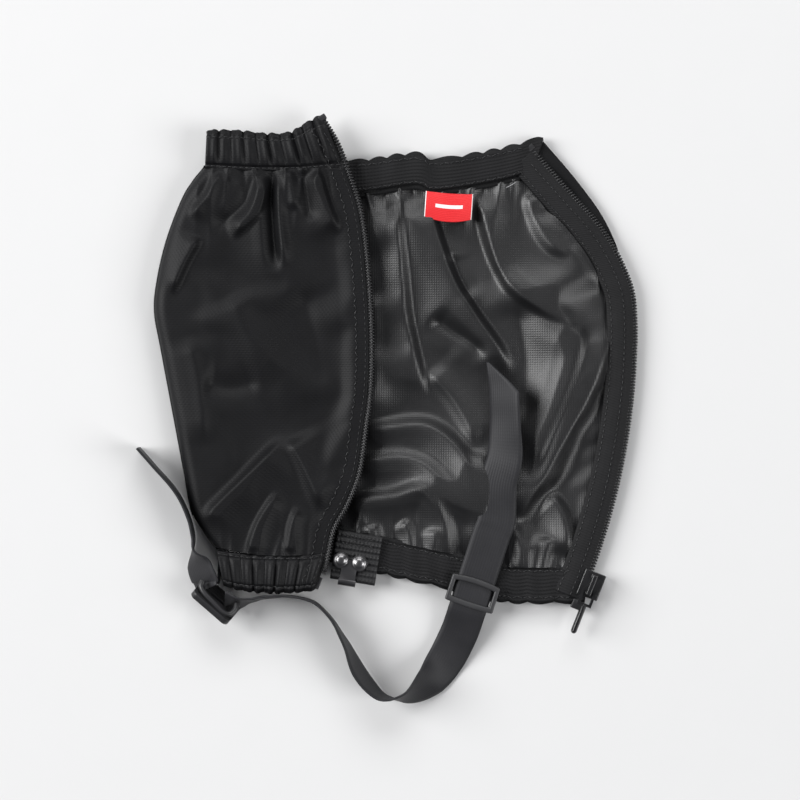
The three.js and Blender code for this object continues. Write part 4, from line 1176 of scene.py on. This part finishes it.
def make_label():
    """The small woven label, with pale selvedges and one plain pale bar."""
    low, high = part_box("size_label")
    top_middle = ((low[0] + high[0]) / 2 / MM - SHIFT_X, 114.7)
    turn = math.radians(-4)
    width, height = 25, 13.5
    rows, cols = 40, 60
    points = []
    for down in np.linspace(1, 0, rows):
        for x in np.linspace(-width / 2, width / 2, cols):
            bow = 0.9 * math.sin(math.pi * down) + 0.5 * math.cos(math.pi * x / width)
            sag = (0.5 + 1.6 * down) * (1 - (2 * x / width) ** 2)
            point = turned(top_middle, turn, x, -height * down, high[2] / MM - 0.1 + 0.7 * bow)
            points.append([point[0], point[1] - sag, point[2]])
    label = cloth_grid("woven_label", np.array(points).reshape(rows, cols, 3), LABEL, 0.4)
    label.data.materials.append(LABEL_PALE)
    for face in label.data.polygons:
        r, c = divmod(face.index, cols - 1)
        selvedge = c < 1 or c > cols - 3
        bar = abs(r - rows / 2) < 2.2 and 12 < c < cols - 13
        face.material_index = 1 if selvedge or bar else 0
    belongs(label, "label", "label", "size_label")


def make_wind_strip():
    """The fabric strip that stands out past the upper end of the zip."""
    line = between_y(zip_line, 84, 137, 120)
    width = 6.4 * np.sin(math.pi / 2 * np.clip(np.linspace(0.05, 1.25, 120), 0, 1))

    def height(y, x, v):
        return TAPE_Z - 1.2 + 0.8 * np.sin(y / 5) * v

    strip = band_strip("zip_wind_strip_cloth", moved_left(line, -1.2 - width), moved_left(line, 1.0),
                       10, 120, height, OUTER, 0.6)
    belongs(strip, "root", "outer_fabric", "zip_wind_strip")


# ---- Stitching ------------------------------------------------------------------------------
def surface_finder(things):
    """A function that gives the height of the highest of some surfaces below a point."""
    graph = bpy.context.evaluated_depsgraph_get()
    trees = [BVHTree.FromObject(thing, graph) for thing in things]

    def height(x, y):
        start = Vector(place([[x, y, 60]])[0])
        hits = [tree.ray_cast(start, Vector((0, 0, -1)))[0] for tree in trees]
        heights = [hit.z / MM for hit in hits if hit is not None]
        return max(heights, default=None)
    return height


def stitches(name, line, height, body, length=2.3, gap=0.8, radius=0.24, zigzag=0.0, thread=THREAD):
    """A row of sewn stitches along a line, lying on a surface."""
    run = run_along(line)
    verts, faces = [], []
    position, side = 0.0, 1
    while position + length < run[-1]:
        where = position + np.linspace(0, length, 4)
        x, y = (np.interp(where, run, line[:, k]) for k in (0, 1))
        along = np.array([x[-1] - x[0], y[-1] - y[0]])
        along = along / max(np.linalg.norm(along), 1e-9)
        swing = zigzag * side * np.linspace(-1, 1, 4)
        x, y = x - along[1] * swing, y + along[0] * swing
        z = [height(a, b) for a, b in zip(x, y)]
        if None not in z:
            lift = np.array([-0.12, 0.18, 0.18, -0.12]) + radius * 0.4
            stitch, sides = tube(np.column_stack([x, y, np.array(z) + lift]), radius, 5)
            faces += [[k + len(verts) for k in face] for face in sides]
            verts.extend(stitch)
        position += length + gap
        side = -side
    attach(new_object(name, place(verts), faces, thread), body)


def make_stitching(lower, flap, calf, hem, cuffs, tape):
    """All the sewn lines on the sheets, the bands, the cuffs and the tape."""
    on_flap = surface_finder([flap, cuffs["calf"][0], cuffs["hem"][0]])
    on_lower = surface_finder([lower, *calf, *hem, tape])
    stitches("flap_tape_stitches", between_y(moved_left(flap_zip_line, 8.2), -92, 148, 300),
             on_flap, "flap", zigzag=0.55, length=2.6, gap=0.5)
    stitches("flap_edge_stitches", between_y(moved_left(flap_zip_line, 3.4), -92, 146, 300),
             on_flap, "flap", length=2.2, gap=1.0, radius=0.18)
    for key, shares in (("calf", (0.1, 0.84)), ("hem", (0.1, 0.86))):
        points = cuffs[key][1]
        for k, share in enumerate(shares):
            row = points[int(share * (len(points) - 1)), :, :2]
            stitches(f"flap_{key}_cuff_stitches_{k + 1}", row, on_flap, "flap", length=2.2)
    calf_x, hem_x = np.linspace(-16, 72, 260), np.linspace(-32, 98, 320)
    for name, x, y in [
            ("calf_seam_stitches", calf_x, calf_seam_y(calf_x) + 2.4),
            ("calf_edge_stitches", calf_x, calf_seam_y(calf_x) + BAND_DEPTH - 3.2),
            ("hem_seam_stitches", hem_x, hem_seam_y(hem_x) - 1.4),
            ("hem_edge_stitches", hem_x, hem_seam_y(hem_x) - HEM_DEPTH + 3.2)]:
        stitches(name, np.stack([x, y], axis=1), on_lower, "root", zigzag=0.5, gap=0.5)
    for name, inside, high in [("zip_tape_stitches", TAPE_WIDTH - 1.6, 128),
                               ("zip_tape_stitches_outer", TAPE_WIDTH - 8.5, 130)]:
        stitches(name, between_y(moved_left(zip_line, inside), -98, high, 300), on_lower, "root")
    stitches("calf_band_thread_end", catmull([[63, 117.6], [66, 119], [69.5, 121.5]], 30), on_lower,
             "root", length=6.5, gap=1, radius=0.2, thread=PALE_THREAD)


def make_tab_stitching():
    """The bar tacks that hold the hook tab's upper end: two bars and a cross between them."""
    z = top_of("hook_tab") - 0.1
    near, far = -2, -6.5
    for k, (y0, y1) in enumerate([(near, near), (far, far), (near, far), (far, near)]):
        line = even(np.array([on_tab(-9, y0, 0)[:2], on_tab(9, y1, 0)[:2]]), 60)
        stitches(f"hook_tab_tack_{k + 1}", line, lambda a, b: z, "hook_tab",
                 length=1.6, gap=0.6, radius=0.2)


# ---- Scene ----------------------------------------------------------------------------------
def make_camera():
    """A camera that looks straight down, with the pattern as wide as VIEW_WIDTH asks."""
    camera = bpy.data.cameras.new("camera")
    camera.sensor_width = 36
    camera.lens = camera.sensor_width * CAMERA_HEIGHT / VIEW_WIDTH
    thing = bpy.data.objects.new("camera", camera)
    thing.location = (*place([[*VIEW_CENTRE, 0]])[0][:2], CAMERA_HEIGHT)
    bpy.context.scene.collection.objects.link(thing)
    bpy.context.scene.camera = thing


def make_light(name, location, size, power):
    """A soft box aimed at the middle of the floor."""
    lamp = bpy.data.lights.new(name, "AREA")
    lamp.shape = "RECTANGLE"
    lamp.size, lamp.size_y = size
    lamp.energy = power
    thing = bpy.data.objects.new(name, lamp)
    thing.location = location
    thing.rotation_euler = (-Vector(location)).to_track_quat("-Z", "Y").to_euler()
    bpy.context.scene.collection.objects.link(thing)


def make_stage():
    """The pale floor, three soft boxes and a faint surround."""
    half, below = 3.0, -0.0004
    corners = [(-half, -half), (half, -half), (half, half), (-half, half)]
    paper = finish("pale_floor", (0.665, 0.665, 0.665), (0.67, 0.67, 0.67), 0.9, 0.02, specular=0.1)
    new_object("floor", [(x, y, below) for x, y in corners], [[0, 1, 2, 3]], paper,
                        smooth=False)
    make_light("left_softbox", (-3.7, 0.9, 2.7), (2.5, 3.2), 272)
    make_light("right_softbox", (3.4, -0.9, 2.7), (2.1, 2.8), 108)
    make_light("top_softbox", (0.1, 3.4, 2.6), (3.4, 2.0), 96)
    world = bpy.data.worlds.new("soft_surround")
    bpy.context.scene.world = world
    world.use_nodes = True
    background = world.node_tree.nodes["Background"]
    background.inputs["Color"].default_value = (0.9, 0.92, 1.0, 1)
    background.inputs["Strength"].default_value = 0.12
    bpy.context.scene.view_settings.view_transform = "Standard"


make_camera()
lower_sheet = make_lower_sheet()
calf_pieces = make_calf_band()
hem_pieces = make_hem()
flap_sheet = make_flap_sheet()
cuff_pieces = make_cuffs()
right_tape = make_tapes()
make_coil("zip_coil_right_wound", zip_line, TAPE_Z + 0.3, "root", "zip_coil_right")
make_coil("zip_coil_left_wound", flap_zip_line[14:], FLAP_TAPE_Z + 0.4, "flap", "zip_coil_left")
make_straps()
make_hardware()
make_hook_tab()
make_label()
make_wind_strip()
bpy.context.view_layer.update()
make_stitching(lower_sheet, flap_sheet, calf_pieces, hem_pieces, cuff_pieces, right_tape)
make_tab_stitching()
tuple(place([[FOLD_LINE_X - 5, 20, FLAP_TOP]])[0])
tuple(place([[FOLD_LINE_X + 3, 20, FLAP_TOP]])[0])
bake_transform(flap_sheet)
make_stage()

bpy.context.view_layer.update()
